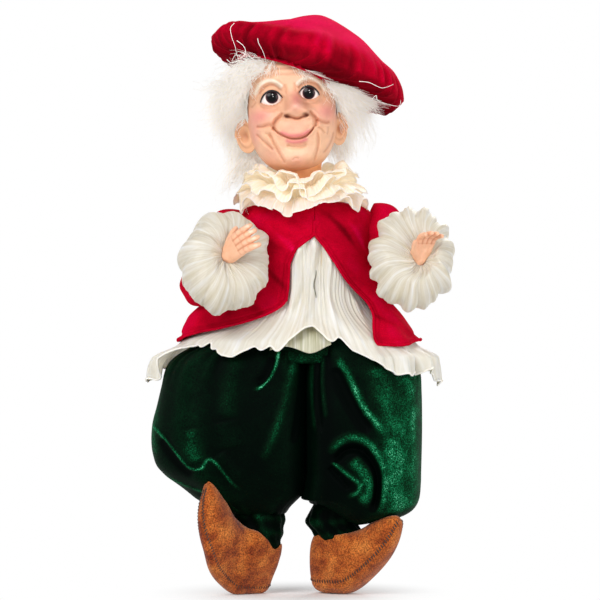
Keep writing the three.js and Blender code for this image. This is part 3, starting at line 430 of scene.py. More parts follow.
LIPS = [
    [(-5.2, 51.4), (-1.8, 50.2), (1.8, 49.9), (5.6, 50.1), (9, 51.2)],
    [(-9, 58), (-4, 55.7), (1.6, 54.8), (7, 55.2), (11.8, 57.4)],
]
LIP_WIDTH = 1.8
NOSTRILS = [(-3.9, 70.9), (11.0, 70.7)]
NOSTRIL_SPREAD = (1.7, 1.0)
NOSTRIL_DEPTH = 2.6
SKIN = srgb("F3C09C")
SKIN_PAINTED_HIGHLIGHT = srgb("FBD6B6")
BROWN_WASH_AND_PAINTED_SHADE = srgb("A5522C")
ROSE = srgb("DE7A80")
LIP = srgb("DB7377")
BROW_PAINT = srgb("F4E7D4")
NOSTRIL_BROWN = srgb("5E2016")
EAR_SKIN = srgb("EDB78E")
NECK_SKIN_IN_PAINTED_SHADE = srgb("E9A26C")
WASH_STRENGTH = 0.7
WASH_WIDTH = 0.65
EYE_HOLLOW_SHADES = [(-14.4, 88, 11, 7), (15.2, 88.6, 11, 7)]
# Painted shades, painted highlights and blushes: place, spread across and up, strength
PAINTED_SHADES = [
    (-3.4, 78.5, 1.9, 4.2, 0.34),
    (12.2, 79.0, 1.8, 4.0, 0.3),
    (-12, 47, 7, 6, 0.1),
    (15, 46, 7, 6, 0.1),
]
PAINTED_HIGHLIGHTS = [(1, 42, 14, 9, 0.6), (0, 100, 22, 8, 0.45), (4.4, 77.5, 2.4, 2.2, 0.8)]
BLUSHES = [
    (-25.5, 73, 7.5, 4.6, 0.62),
    (28, 72, 6.5, 5.4, 0.62),
    (1.6, 61.5, 9, 5, 0.24),
    (4.8, 83.4, 3.4, 4.2, 0.6),
    (4.4, 76.0, 6, 4, 0.25),
    (-30.5, 60, 3, 7, 0.4),
    (-20, 40, 6, 6, 0.25),
    (0.7, 35, 7, 3.5, 0.3),
]
EAR_ROWS = 22
EAR_COLUMNS = 56
EAR_LEAN = math.radians(38)
EAR_HOLLOW_WIDTH = 0.3
# Ears: side, half width, half height, place out, up and back
EARS = [(-1, 10.0, 14.5, 38.5, 62.0, -2.0), (1, 8.5, 14.0, 37.0, 61.0, 0.0)]
NECK_SIDES = 48
# Neck: height and radius
NECK_LINE = [
    (0, 0), (0, 14.5), (0.6, 15.8), (4, 16), (10, 15.6), (16, 15.4), (24, 15.8), (34, 17), (44, 18), (44, 0),
]


def smooth(t):
    """An eased step from 0 to 1."""
    held = np.clip(t, 0, 1)
    return held * held * (3 - 2 * held)


def bell(t):
    """One at zero, falling away quickly to both sides."""
    return np.exp(-(t**2))


def soft_bell(t):
    """One at zero, falling away slowly to both sides."""
    return np.exp(-(t**2) / 2)


def signed_power(values, power):
    """Values raised to a power, each with its own sign."""
    return np.sign(values) * np.abs(values) ** power


def full_turn(count):
    """Angles evenly round a ring, as one row."""
    return np.linspace(0, 2 * math.pi, count, endpoint=False)[None, :]


def spun(a, b, angle):
    """Two coordinates turned together through an angle."""
    c, s = math.cos(angle), math.sin(angle)
    return a * c - b * s, a * s + b * c


def curved(points, steps=8):
    """A smooth line through points."""
    p = np.array([points[0], *points, points[-1]], float)
    t = np.linspace(0, 1, steps, endpoint=False)[:, None]
    parts = []
    for a, b, c, d in zip(p, p[1:], p[2:], p[3:]):
        straight = 2 * b + (c - a) * t
        square = (2 * a - 5 * b + 4 * c - d) * t**2
        cube = (3 * b - a - 3 * c + d) * t**3
        parts.append(0.5 * (straight + square + cube))
    return np.vstack([*parts, p[-1:]])


def run_along(line):
    """How far along a line each of its points lies."""
    return np.concatenate([[0], np.cumsum(np.linalg.norm(np.diff(line, axis=0), axis=1))])


def off_line(u, v, line):
    """How far each point lies from a bent line, and where along it, from 0 to 1, the nearest place is."""
    gone = run_along(line)
    nearest, place = np.full(u.shape, np.inf), np.zeros(u.shape)
    for (a, b), (c, d), start, stop in zip(line, line[1:], gone, gone[1:]):
        across, up = c - a, d - b
        t = np.clip(((u - a) * across + (v - b) * up) / (across**2 + up**2 + 1e-12), 0, 1)
        off = np.hypot(u - a - t * across, v - b - t * up)
        place = np.where(off < nearest, (start + t * (stop - start)) / gone[-1], place)
        nearest = np.minimum(nearest, off)
    return nearest, place


def away_from(u, v, line):
    """How far each point lies from a bent line."""
    return off_line(u, v, line)[0]


def tapered(place):
    """One along most of a line, dying away at both its ends."""
    return smooth(place / 0.1) * smooth((1 - place) / 0.14)


def inside(u, v, line):
    """True where a point lies within a closed line."""
    within = np.zeros(u.shape, bool)
    for (a, b), (c, d) in zip(line, np.roll(line, -1, 0)):
        crosses = (b > v) != (d > v)
        within ^= crosses & (u < (c - a) * (v - b) / (d - b + 1e-12) + a)
    return within


def hill(u, v, x, z, across, up):
    """A round swelling of height one."""
    return np.exp(-(((u - x) / across) ** 2 + ((v - z) / up) ** 2) / 2)


def mesh_of(name, points, faces):
    """A mesh from points in millimetres in the doll's frame."""
    mesh = bpy.data.meshes.new(name)
    mesh.from_pydata(((np.asarray(points) + ORIGIN) * MM).tolist(), [], [list(map(int, f)) for f in faces])
    return mesh


def tube_faces(rows, columns, looped=True):
    """Faces between rows of points."""
    index = np.arange(rows * columns).reshape(rows, columns)
    after = np.roll(index, -1, 1)
    if not looped:
        index, after = index[:, :-1], after[:, :-1]
    return np.stack([index[:-1], after[:-1], after[1:], index[1:]], -1).reshape(-1, 4)


def paint(mesh, colours):
    """Stores a colour for each point of a mesh."""
    layer = mesh.attributes.new("paint", "FLOAT_COLOR", "POINT")
    layer.data.foreach_set("color", np.ascontiguousarray(colours, np.float32).ravel())


def outward(mesh):
    """Turns every face of a closed mesh outwards."""
    whole = bmesh.new()
    whole.from_mesh(mesh)
    bmesh.ops.remove_doubles(whole, verts=whole.verts, dist=1e-7)
    bmesh.ops.recalc_face_normals(whole, faces=whole.faces)
    whole.to_mesh(mesh)
    whole.free()


def rolled_head(points):
    """Head points, rolled towards the doll's right shoulder and set on the neck."""
    x, z = spun(points[..., 0], points[..., 2], HEAD_ROLL)
    return np.stack([x, points[..., 1], z], -1) + HEAD_FOOT


def blended(colours, colour, mask):
    """Paint of one colour laid over others by a mask."""
    return colours + (np.array(colour) - colours) * np.clip(mask, 0, 1)[..., None]


def touched(colours, u, v, colour, touches):
    """Paint laid on in soft touches, each with a place, a spread across and up, and a strength."""
    for x, z, across, up, strength in touches:
        colours = blended(colours, colour, strength * hill(u, v, x, z, across, up))
    return colours


def stain(nodes, links, shader, first, second, share=1.0):
    """Colours a shader with one colour multiplied by another."""
    mixed = add_node(nodes, "Mix", data_type="RGBA", blend_type="MULTIPLY")
    mixed.inputs[0].default_value = share
    links.new(first, mixed.inputs[6])
    links.new(second, mixed.inputs[7])
    links.new(mixed.outputs[2], shader.inputs["Base Color"])


head_lines = curved(HEAD_PROFILE, 10)
low, high = HEAD_PROFILE[0][0], HEAD_PROFILE[-1][0]
latitude = np.linspace(-math.pi / 2, math.pi / 2, HEAD_ROWS)
heights = (low + high) / 2 + (high - low) / 2 * np.sin(latitude)
turn = np.linspace(-math.pi, math.pi, HEAD_COLUMNS, endpoint=False)
turn = turn - FRONT_CROWDING * np.sin(turn)
side = signed_power(np.sin(turn), HEAD_SQUARENESS)
ahead = np.abs(np.cos(turn)) ** HEAD_SQUARENESS
half_width, front, behind = [
    np.maximum(0, np.interp(heights, head_lines[:, 0], head_lines[:, k]))[:, None] for k in (1, 2, 3)
]
u = half_width * side
v = np.repeat(heights[:, None], HEAD_COLUMNS, 1)
y = np.where(np.cos(turn) > 0, -front * ahead, behind * ahead)

facing = smooth((-y - FACE_EDGE) / FACE_FADE)
rise = np.zeros(u.shape)
for x, z, across, up, height in SWELLINGS:
    rise += height * hill(u, v, x, z, across, up)
crease_wash_and_shade = np.zeros(u.shape)
# Creases: carved grooves with brown paint in them, partly painted lines and partly painted shade
for line, width, height, dark in CREASES:
    near, place = off_line(u, v, curved(line))
    fade = tapered(place)
    banks = soft_bell((near - BANK_OFFSET * width) / width)
    rise += fade * height * (CREASE_DEPTH * soft_bell(near / width) - BANK_HEIGHT * banks)
    crease_wash_and_shade = np.maximum(crease_wash_and_shade, WASH_STRENGTH * dark * fade * soft_bell(near / (width * WASH_WIDTH)))
brow_mask = np.zeros(u.shape)
for line in BROWS:
    near = away_from(u, v, curved(line))
    rise += BROW_HEIGHT * soft_bell(near / BROW_WIDTH)
    brow_mask = np.maximum(brow_mask, np.exp(-((near / BROW_PAINT_WIDTH) ** 4)))
nostril_mask = np.zeros(u.shape)
for x, z in NOSTRILS:
    nostril = hill(u, v, x, z, *NOSTRIL_SPREAD)
    rise -= NOSTRIL_DEPTH * nostril
    nostril_mask = np.maximum(nostril_mask, nostril)
y = y - rise * facing

lid_mask = np.zeros(u.shape)
for (x, z), upper, lower in zip(EYE_CENTRES, UPPER_LIDS, LOWER_LIDS):
    rim = np.vstack([curved(upper)[:-1], curved(lower)[:-1]])
    away = away_from(u, v, np.vstack([rim, rim[:1]]))
    within = inside(u, v, rim) & (y < 0)
    square = (u - x) ** 2 + (v - z) ** 2
    lid_depth = EYE_BACK + np.sqrt(np.maximum(0, (EYE_BALL + LID_THICKNESS) ** 2 - square))
    lid = 0.5 * (-y + lid_depth + np.sqrt((-y - lid_depth) ** 2 + 1.0))
    reach = smooth((EYE_BALL + LID_REACH - np.sqrt(square)) / LID_FADE) * (y < 0)
    y = np.where(within, y, y - (lid + y) * reach)
    ball_depth = EYE_BACK + np.sqrt(np.maximum(0, EYE_BALL**2 - square))
    y = np.where(within, SOCKET_DEPTH * smooth(away / SOCKET_FADE) - ball_depth, y)
    lid_mask = np.maximum(lid_mask, bell(away / LID_PAINT_WIDTH) * ~within)

# Painted highlights: the chin, forehead and nose tip are painted lighter where light falls on them.
skin = touched(np.ones((*u.shape, 4)) * SKIN, u, v, SKIN_PAINTED_HIGHLIGHT, PAINTED_HIGHLIGHTS)
# Painted shade in the eye hollows, along the sides of the nose and below the corners of the mouth.
hollow = sum(hill(u, v, *place) for place in EYE_HOLLOW_SHADES)
skin = blended(skin, BROWN_WASH_AND_PAINTED_SHADE, 0.22 * np.clip(hollow, 0, 1))
skin = touched(skin, u, v, BROWN_WASH_AND_PAINTED_SHADE, PAINTED_SHADES)
# Painted shade towards the sides of the face and under the jaw.
edge = smooth((np.abs(u) - 27) / 10)
skin = blended(skin, BROWN_WASH_AND_PAINTED_SHADE, 0.2 * edge + 0.3 * smooth((40 - v) / 12))
skin = touched(skin, u, v, ROSE, BLUSHES)
lips = np.zeros(u.shape)
for line in LIPS:
    lips = np.maximum(lips, bell(away_from(u, v, curved(line)) / LIP_WIDTH))
skin = blended(skin, LIP, 0.85 * lips)
skin = blended(skin, BROWN_WASH_AND_PAINTED_SHADE, crease_wash_and_shade)
skin = blended(skin, BROW_PAINT, 0.9 * brow_mask)
skin = blended(skin, BROWN_WASH_AND_PAINTED_SHADE, 0.45 * lid_mask)
skin = blended(skin, NOSTRIL_BROWN, 0.95 * nostril_mask)


def ear_points(side, across, tall, out, up, back):
    """A closed ear with a rolled rim, a hollow and a lobe, and how much painted shade lies on it, most in the
    hollow.
    """
    r = np.concatenate([np.linspace(0, 1, EAR_ROWS), np.linspace(0.97, 0, EAR_ROWS // 2)])[:, None]
    turn = full_turn(EAR_COLUMNS)
    is_front = (np.arange(len(r)) < EAR_ROWS)[:, None]
    outline = 1 - 0.16 * np.cos(turn) * (np.sin(turn) < 0) + 0.06 * np.cos(2 * turn)
    a = r * outline * across * np.cos(turn)
    b = r * outline * tall * np.sin(turn) - 0.12 * tall
    rim = 2.6 * bell((r - 0.84) / 0.13) * smooth((np.sin(turn) + 0.75) / 0.6)
    ridge = 1.5 * bell((r - 0.5) / 0.12) * smooth(np.cos(turn) + 0.5)
    hollow = bell(r / EAR_HOLLOW_WIDTH)
    front = rim + ridge - 3.2 * hollow + 1.4 * (1 - r**2)
    relief = np.where(is_front, front, -4.5 * (1 - r**2) - 0.5)
    # Painted shade: darker in the hollow, inside the rim and a little on the back.
    dark = np.where(is_front, 0.8 * hollow + 0.4 * bell((r - 0.67) / 0.07), 0.1)
    x = side * (out + a * math.cos(EAR_LEAN) + relief * math.sin(EAR_LEAN) * 0.6)
    depth = back + a * math.sin(EAR_LEAN) - relief * math.cos(EAR_LEAN)
    return np.stack([x, depth, up + b], -1), np.broadcast_to(dark, a.shape)


head_parts = [(np.stack([u, y, v], -1), skin)]
for ear in EARS:
    ear_shape, ear_painted_shade = ear_points(*ear)
    ear_skin = np.ones((*ear_painted_shade.shape, 4)) * EAR_SKIN
    head_parts.append((ear_shape, blended(ear_skin, BROWN_WASH_AND_PAINTED_SHADE, 0.75 * ear_painted_shade)))
# Neck: painted darker than the face, a painted shade under the chin and the collar.
neck_turn = full_turn(NECK_SIDES)
neck_heights, neck_radii = np.array(NECK_LINE).T[..., None]
neck_x, neck_y = neck_radii * np.cos(neck_turn), neck_radii * np.sin(neck_turn)
neck_x, neck_z = spun(neck_x, neck_heights, -HEAD_ROLL)
neck_shape = np.stack([neck_x, neck_y, neck_z], -1)
head_parts.append((neck_shape, np.ones((*neck_shape.shape[:2], 4)) * NECK_SKIN_IN_PAINTED_SHADE))

points, faces, colours, start = [], [], [], 0
for part, part_skin in head_parts:
    rows, columns = part.shape[:2]
    points.append(rolled_head(part).reshape(-1, 3))
    colours.append(part_skin.reshape(-1, 4))
    faces.append(tube_faces(rows, columns) + start)
    start += rows * columns
head_mesh = mesh_of("head_shell_painted", np.vstack(points), np.vstack(faces))
paint(head_mesh, np.vstack(colours))
outward(head_mesh)

resin, nodes, links, shader = new_material("painted_resin", SKIN, 0.48)
tint = add_node(nodes, "Attribute", attribute_name="paint")
grain = add_grain(nodes, 120, 1500)
blotches = [(0.3, (0.9, 0.87, 0.85, 1)), (0.7, (1.04, 1.03, 1.02, 1))]
stain(nodes, links, shader, tint.outputs["Color"], ramp(nodes, links, grain.outputs["Cloud"], blotches))
gloss = ramp(nodes, links, grain.outputs["Cloud"], [(0.3, grey(0.4)), (0.7, grey(0.55))])
links.new(gloss, shader.inputs["Roughness"])
fill(shader, Subsurface_Weight=0.12, Subsurface_Radius=(0.004, 0.0018, 0.001), Subsurface_Scale=0.6)
add_bump(nodes, links, shader, grain.outputs["Grain"], 0.12, 0.0002)
head_shell = new_object("head_shell_painted", head_mesh, resin)
wear(head_shell, "head", "resin", "head_shell")

# Eyes: glossy acrylic balls set in the shell, dark irises with a plum edge below.
# Each has two white dots, painted reflections that stand for catchlights, and a black lash line is painted
# along its upper lid.
IRIS = [
    (0.0, srgb("050304")),
    (0.4, srgb("040203")),
    (0.5, srgb("180A0C")),
    (0.58, srgb("3A1A24")),
    (0.65, srgb("241016")),
    (0.69, srgb("D9B8B2")),
    (0.78, srgb("F6EDE8")),
    (1.0, srgb("F1E2DC")),
]
IRIS_REACH = 7.6
GAZE = [(0.2, 0.1), (-0.2, -0.2)]
# Catchlights, white dots that paint reflections on the eye: place from the middle of the iris, and size
CATCHLIGHTS = [(0.9, 0.4, 0.55), (0.5, 2.0, 0.75)]
CATCHLIGHT_PROUD = 0.05
LASH_PROUD = 0.75
EYE_ROWS = 40
EYE_SIDES = 48


def head_point(x, y, z):
    """A point of the head, in metres in the model's frame."""
    return Vector((rolled_head(np.array([x, y, z], float)) + ORIGIN) * MM)


def tube_along(name, line, radii, material, sides=8):
    """A round tube with closed ends along points in millimetres in the doll's frame."""
    line = np.asarray(line, float)
    ahead = np.gradient(line, axis=0)
    ahead /= np.linalg.norm(ahead, axis=1)[:, None] + 1e-12
    side = np.cross(ahead, (0.13, 0.99, 0.05))
    side /= np.linalg.norm(side, axis=1)[:, None] + 1e-12
    up = np.cross(side, ahead)
    turn = np.linspace(0, 2 * math.pi, sides, endpoint=False)
    ring = np.cos(turn)[None, :, None] * side[:, None] + np.sin(turn)[None, :, None] * up[:, None]
    rings = line[:, None] + ring * np.broadcast_to(radii, len(line))[:, None, None]
    rings = np.concatenate([np.repeat(line[:1, None], sides, 1), rings, np.repeat(line[-1:, None], sides, 1)])
    mesh = mesh_of(name, rings.reshape(-1, 3), tube_faces(len(rings), sides))
    outward(mesh)
    return new_object(name, mesh, material)


def on_eye(middle, a, b, proud):
    """A point on an eye, a little proud of it."""
    depth = np.sqrt(np.maximum(4, (EYE_BALL + proud) ** 2 - (a - middle[0]) ** 2 - (b - middle[1]) ** 2))
    return rolled_head(np.stack([a, -EYE_BACK - depth, b], -1))


lash_tones = [(0.3, srgb("0A0505")), (0.8, srgb("221312"))]
lash_black = grained("lash_paint", srgb("120808"), 0.45, (200, 2000), lash_tones)
dot_tones = [(0.3, grey(0.9)), (0.7, WHITE)]
catchlight_reflection = grained("painted_catchlight_reflection", grey(0.95), 0.2, (200, 2000), dot_tones, kind="Cloud")

for eye_name, (x, z), (look, lift), upper in zip(("right", "left"), EYE_CENTRES, GAZE, UPPER_LIDS):
    rings = np.linspace(0, math.pi, EYE_ROWS)[:, None]
    turn = full_turn(EYE_SIDES)
    ball_x = x + EYE_BALL * np.sin(rings) * np.cos(turn)
    ball_y = -EYE_BACK - EYE_BALL * np.cos(rings) + 0 * turn
    ball_z = z + EYE_BALL * np.sin(rings) * np.sin(turn)
    ball = rolled_head(np.stack([ball_x, ball_y, ball_z], -1)).reshape(-1, 3)
    ball_mesh = mesh_of(eye_name + "_eye_ball", ball, tube_faces(EYE_ROWS, EYE_SIDES))
    outward(ball_mesh)
    eye_material, nodes, links, shader = new_material(eye_name + "_eye_acrylic", srgb("F6EDE8"), 0.12)
    place = add_node(nodes, "TexCoord")
    off = add_node(nodes, "VectorMath", operation="DISTANCE")
    off.inputs[1].default_value = head_point(x + look, -EYE_BACK - EYE_BALL, z + lift)
    links.new(place.outputs["Object"], off.inputs[0])
    share = add_node(nodes, "MapRange", From_Max=IRIS_REACH * MM)
    links.new(off.outputs["Value"], share.inputs["Value"])
    links.new(ramp(nodes, links, share.outputs["Result"], IRIS), shader.inputs["Base Color"])
    fill(shader, Specular_IOR_Level=0.16)
    eye_ball = new_object(eye_name + "_eye_ball", ball_mesh, eye_material)
    wear(eye_ball, "head", "eye", eye_name + "_eye")
    lash_line = curved(upper, 6)
    heavy = 0.32 + 0.5 * np.sin(math.pi * np.linspace(0, 1, len(lash_line))) ** 0.7
    lash_line = on_eye((x, z), lash_line[:, 0], lash_line[:, 1], LASH_PROUD)
    lash = tube_along(eye_name + "_lash_line", lash_line, heavy, lash_black)
    wear(lash, "head", "eye")
    for number, (a, b, size) in enumerate(CATCHLIGHTS):
        spot_x, spot_z = x + look + a, z + lift + b
        ends = [on_eye((x, z), spot_x + size * k, spot_z, CATCHLIGHT_PROUD) for k in (-0.4, 0.4)]
        dot = tube_along(f"{eye_name}_catchlight_{number}", ends, size * 0.6, catchlight_reflection)
        wear(dot, "head", "eye")

# Wig: a knotted mohair cap glued to the skull, combed out into white curly locks.
# Each hair is a thin strand swept along its own curl, and the cap shows between them.
MOHAIR_COLOUR = srgb("F6F2EC")
MOHAIR_SHADE = srgb("DDD5CA")
HAIR_SEED = 11
HAIR_STEPS = 8
HAIR_SIDES = 3
HAIR_RADIUS = 0.19
SKULL_MIDDLE = np.array([0.0, 0.0, 84.0])
SKULL_HALF = np.array([37.0, 42.0, 51.0])
CAP_SHARE = 1.03
BERET_PLACE = np.array([5.0, 15.0, 110.0])
BERET_ROLL = math.radians(18.5)
BERET_PITCH = math.radians(-8)
BERET_RADIUS = 80.0
BERET_SHADE = -11.5
STRAY_POINTS = 60
STRAY_SIDES = 5
# Locks: root place and spread on the head, heading and its spread, length, droop, curl, number of locks,
# and hairs in a lock
LOCKS = {
    "wig_right_side": [
        ((-35, 8, 106), (4, 12, 4), (-0.8, -0.1, -0.1), 0.4, 24, 0.5, 8, 34, 18),
        ((-37, 3, 96), (3, 14, 7), (-0.9, -0.25, -0.05), 0.45, 33, 0.6, 9, 64, 18),
        ((-38, 15, 82), (3, 8, 7), (-0.9, 0.05, -0.3), 0.45, 30, 0.55, 9, 54, 18),
        ((-36, -3, 86), (2, 4, 8), (-0.8, -0.15, -0.3), 0.35, 17, 0.5, 6, 40, 16),
        ((-36, 20, 64), (4, 8, 9), (-0.7, 0.1, -0.6), 0.4, 27, 0.5, 8, 40, 16),
        ((-33, 25, 50), (5, 7, 8), (-0.55, 0.1, -0.8), 0.4, 28, 0.4, 9, 24, 14),
    ],
    "wig_left_side": [
        ((33, 0, 101), (4, 12, 5), (0.92, -0.25, -0.35), 0.25, 34, 0.35, 5, 54, 18),
        ((36, 4, 91), (3, 12, 6), (0.9, -0.2, -0.35), 0.25, 37, 0.35, 5, 60, 18),
        ((36, -2, 84), (2, 4, 6), (0.85, -0.1, -0.4), 0.3, 16, 0.4, 5, 30, 14),
        ((36, 18, 74), (3, 7, 8), (0.35, 0.1, -0.85), 0.25, 25, 0.3, 5, 40, 16),
        ((33, 23, 58), (4, 7, 7), (0.2, 0.15, -0.95), 0.25, 24, 0.3, 5, 26, 14),
    ],
    "wig_back": [
        ((-16, 38, 96), (16, 6, 12), (-0.3, 0.75, -0.5), 0.4, 36, 0.8, 7, 62, 17),
        ((14, 38, 92), (16, 6, 14), (0.3, 0.75, -0.5), 0.4, 36, 0.8, 7, 62, 17),
        ((0, 36, 68), (24, 8, 12), (0, 0.6, -0.75), 0.4, 36, 0.7, 7, 56, 17),
    ],
    "wig_fringe": [
        ((-15, -37, 113), (9, 2, 2), (-0.35, -0.5, -0.7), 0.35, 13, 0.6, 4, 9, 7),
        ((8, -38, 109), (12, 2, 2), (0.65, -0.4, -0.4), 0.35, 15, 0.5, 4, 9, 7),
        ((-31, -17, 105), (3, 7, 5), (-0.8, -0.45, -0.1), 0.4, 25, 0.5, 7, 34, 14),
        ((30, -20, 99), (3, 6, 4), (0.85, -0.35, -0.35), 0.3, 31, 0.4, 5, 32, 14),
        ((-43, 12, 40), (6, 8, 6), (-0.45, -0.1, -0.85), 0.45, 38, 0.2, 10, 9, 6),
        ((-22, -33, 112), (5, 2, 3), (-0.9, -0.35, 0.12), 0.25, 27, 0.45, 6, 20, 14),
    ],
}


# Single hairs that have come loose over the beret, as points in the doll's frame
STRAYS = [
    [(-54, -47, 452), (-57, -47, 448), (-56, -47, 441), (-53.5, -46, 434), (-52, -46, 427),
     (-49.5, -44, 421)],
    [(-35.6, -60, 439), (-34.6, -60, 435), (-32.2, -59, 430.5), (-30, -56, 425), (-29, -52, 420)],
    [(-52, -50, 438), (-47, -51, 434), (-45, -51, 429), (-48, -49, 425), (-53, -47, 427), (-56, -46, 422)],
    [(54, -46, 391.6), (57.4, -47, 395), (59.8, -47, 390.5), (74.6, -42, 387), (77, -40, 391.6)],
    [(44, -50, 406), (52, -50, 405), (62, -48, 401), (71, -44, 404)],
    [(-60, -38, 424), (-56, -42, 421), (-50, -45, 423), (-44, -46, 420)],
]


def beret_frame(points):
    """Points from the frame of the beret's rim to the doll's."""
    x, y, z = np.moveaxis(points, -1, 0)
    y, z = spun(y, z, BERET_PITCH)
    x, z = spun(x, z, -BERET_ROLL)
    return np.stack([x, y, z], -1) + BERET_PLACE + HEAD_FOOT


def under_beret(points):
    """Points pressed down to below the beret where it lies over them."""
    x, y, z = np.moveaxis(points - BERET_PLACE - HEAD_FOOT, -1, 0)
    x, z = spun(x, z, BERET_ROLL)
    y, z = spun(y, z, -BERET_PITCH)
    ceiling = BERET_SHADE + 30 * smooth((np.hypot(x, y) - BERET_RADIUS - 9) / 16)
    return beret_frame(np.stack([x, y, np.minimum(z, ceiling)], -1))


def hairs(spec, random):
    """Points along every hair of a set of locks, in the head's own frame, with a shade for each hair."""
    root, spread, heading, stray, length, droop, curl, locks, count = spec
    lock_root = np.array(root) + random.normal(size=(locks, 3)) * np.array(spread) * 0.7
    lock_heading = np.array(heading) + random.normal(size=(locks, 3)) * stray
    lock_length = length * random.uniform(0.65, 1.2, locks)
    lock_phase = random.uniform(0, 2 * math.pi, locks)
    lock_rate = random.uniform(0.7, 1.7, locks)
    pick = np.repeat(np.arange(locks), count)
    total = len(pick)
    at = lock_root[pick] + random.normal(size=(total, 3)) * 1.6
    going = lock_heading[pick] + random.normal(size=(total, 3)) * 0.2
    step = lock_length[pick] * random.uniform(0.75, 1.15, total) / (HAIR_STEPS - 1)
    phase = lock_phase[pick] + random.normal(size=total) * 0.5
    line = [at]
    for k in range(1, HAIR_STEPS):
        t = k / (HAIR_STEPS - 1)
        swirl = lock_rate[pick] * 5.5 * t + phase
        bend = np.stack([np.cos(swirl), np.sin(swirl * 1.1), np.sin(swirl)], -1) * 0.13 * curl * t
        ahead = going + bend + np.array([0, 0, -droop * t * 1.6])
        ahead /= np.linalg.norm(ahead, axis=1)[:, None]
        at = at + ahead * step[:, None]
        skull = (at - SKULL_MIDDLE) / SKULL_HALF
        depth = np.linalg.norm(skull, axis=1)[:, None]
        at = np.where(depth < 1, SKULL_MIDDLE + skull / depth * SKULL_HALF, at)
        line.append(at)
    return np.stack(line, 1), random.uniform(0, 1, total)


def sweep_tree():
    """Geometry nodes that sweep a round profile along every line of a mesh."""
    tree = bpy.data.node_groups.new("sweep_strands", "GeometryNodeTree")
    tree.interface.new_socket("Geometry", in_out="INPUT", socket_type="NodeSocketGeometry")
    tree.interface.new_socket("Sides", in_out="INPUT", socket_type="NodeSocketInt")
    tree.interface.new_socket("Finish", in_out="INPUT", socket_type="NodeSocketMaterial")
    tree.interface.new_socket("Geometry", in_out="OUTPUT", socket_type="NodeSocketGeometry")
    given = tree.nodes.new("NodeGroupInput")
    result = tree.nodes.new("NodeGroupOutput")
    lines = tree.nodes.new("GeometryNodeMeshToCurve")
    thickness = tree.nodes.new("GeometryNodeInputNamedAttribute")
    thickness.inputs["Name"].default_value = "thickness"
    profile = tree.nodes.new("GeometryNodeCurvePrimitiveCircle")
    profile.inputs["Radius"].default_value = 1.0
    sweep = tree.nodes.new("GeometryNodeCurveToMesh")
    sweep.inputs["Fill Caps"].default_value = True
    whole = tree.nodes.new("GeometryNodeRealizeInstances")
    finish = tree.nodes.new("GeometryNodeSetMaterial")
    tree.links.new(given.outputs["Geometry"], lines.inputs["Mesh"])
    tree.links.new(given.outputs["Sides"], profile.inputs["Resolution"])
    tree.links.new(lines.outputs[0], sweep.inputs["Curve"])
    tree.links.new(profile.outputs[0], sweep.inputs["Profile Curve"])
    tree.links.new(thickness.outputs["Attribute"], sweep.inputs["Scale"])
    tree.links.new(sweep.outputs[0], whole.inputs[0])
    tree.links.new(whole.outputs[0], finish.inputs["Geometry"])
    tree.links.new(given.outputs["Finish"], finish.inputs["Material"])
    tree.links.new(finish.outputs[0], result.inputs[0])
    return tree


SWEEP = sweep_tree()


def set_input(modifier, name, value):
    """Fills in an input of a geometry nodes modifier by its name."""
    for item in modifier.node_group.interface.items_tree:
        if item.item_type == "SOCKET" and item.in_out == "INPUT" and item.name == name:
            modifier[item.identifier] = value


def made_plain(source, name):
    """The result of an object's modifiers as a plain piece, in place of the object."""
    bpy.context.view_layer.update()
    evaluated = source.evaluated_get(bpy.context.evaluated_depsgraph_get())
    mesh = bpy.data.meshes.new_from_object(evaluated)
    mesh.name = name
    bpy.data.objects.remove(source)
    made = bpy.data.objects.new(name, mesh)
    mesh.shade_smooth()
    scene.collection.objects.link(made)
    return made


def strands(name, lines, thickness, shades, sides, material):
    """A piece of strands swept along lines of equal length, given in millimetres in the doll's frame."""
    count, steps = lines.shape[:2]
    mesh = bpy.data.meshes.new(name + "_lines")
    index = np.arange(count * steps).reshape(count, steps)
    edges = np.stack([index[:, :-1], index[:, 1:]], -1).reshape(-1, 2)
    mesh.from_pydata(((lines.reshape(-1, 3) + ORIGIN) * MM).tolist(), edges.tolist(), [])
    width = mesh.attributes.new("thickness", "FLOAT", "POINT")
    width.data.foreach_set("value", np.ascontiguousarray(thickness * MM, np.float32).ravel())
    tone = mesh.attributes.new("tone", "FLOAT", "POINT")
    tone.data.foreach_set("value", np.repeat(shades, steps).astype(np.float32))
    source = bpy.data.objects.new(name + "_lines", mesh)
    scene.collection.objects.link(source)
    modifier = source.modifiers.new("sweep", "NODES")
    modifier.node_group = SWEEP
    set_input(modifier, "Sides", sides)
    set_input(modifier, "Finish", material)
    return made_plain(source, name)


MOHAIR_TONES = [(0.0, MOHAIR_SHADE), (0.35, MOHAIR_COLOUR), (1.0, srgb("FBF9F4"))]
mohair, nodes, links, shader = new_material("mohair", MOHAIR_COLOUR, 0.6)
tone = add_node(nodes, "Attribute", attribute_name="tone")
links.new(ramp(nodes, links, tone.outputs["Fac"], MOHAIR_TONES), shader.inputs["Base Color"])
grain = add_grain(nodes, 90, 900)
rough = ramp(nodes, links, grain.outputs["Cloud"], [(0.3, grey(0.5)), (0.7, grey(0.7))])
links.new(rough, shader.inputs["Roughness"])
# The hair glows faintly: a painted light standing in for light scattered through the white mohair.
fill(shader, Sheen_Weight=0.3, Sheen_Roughness=0.4, Emission_Color=MOHAIR_COLOUR, Emission_Strength=0.16)
cap_tones = [(0.3, srgb("E3DDD4")), (0.65, srgb("FAF8F4"))]
cap_felt = grained("mohair_cap", MOHAIR_COLOUR, 0.9, (70, 700, 0.25), cap_tones, relief=(0.8, 0.0015))

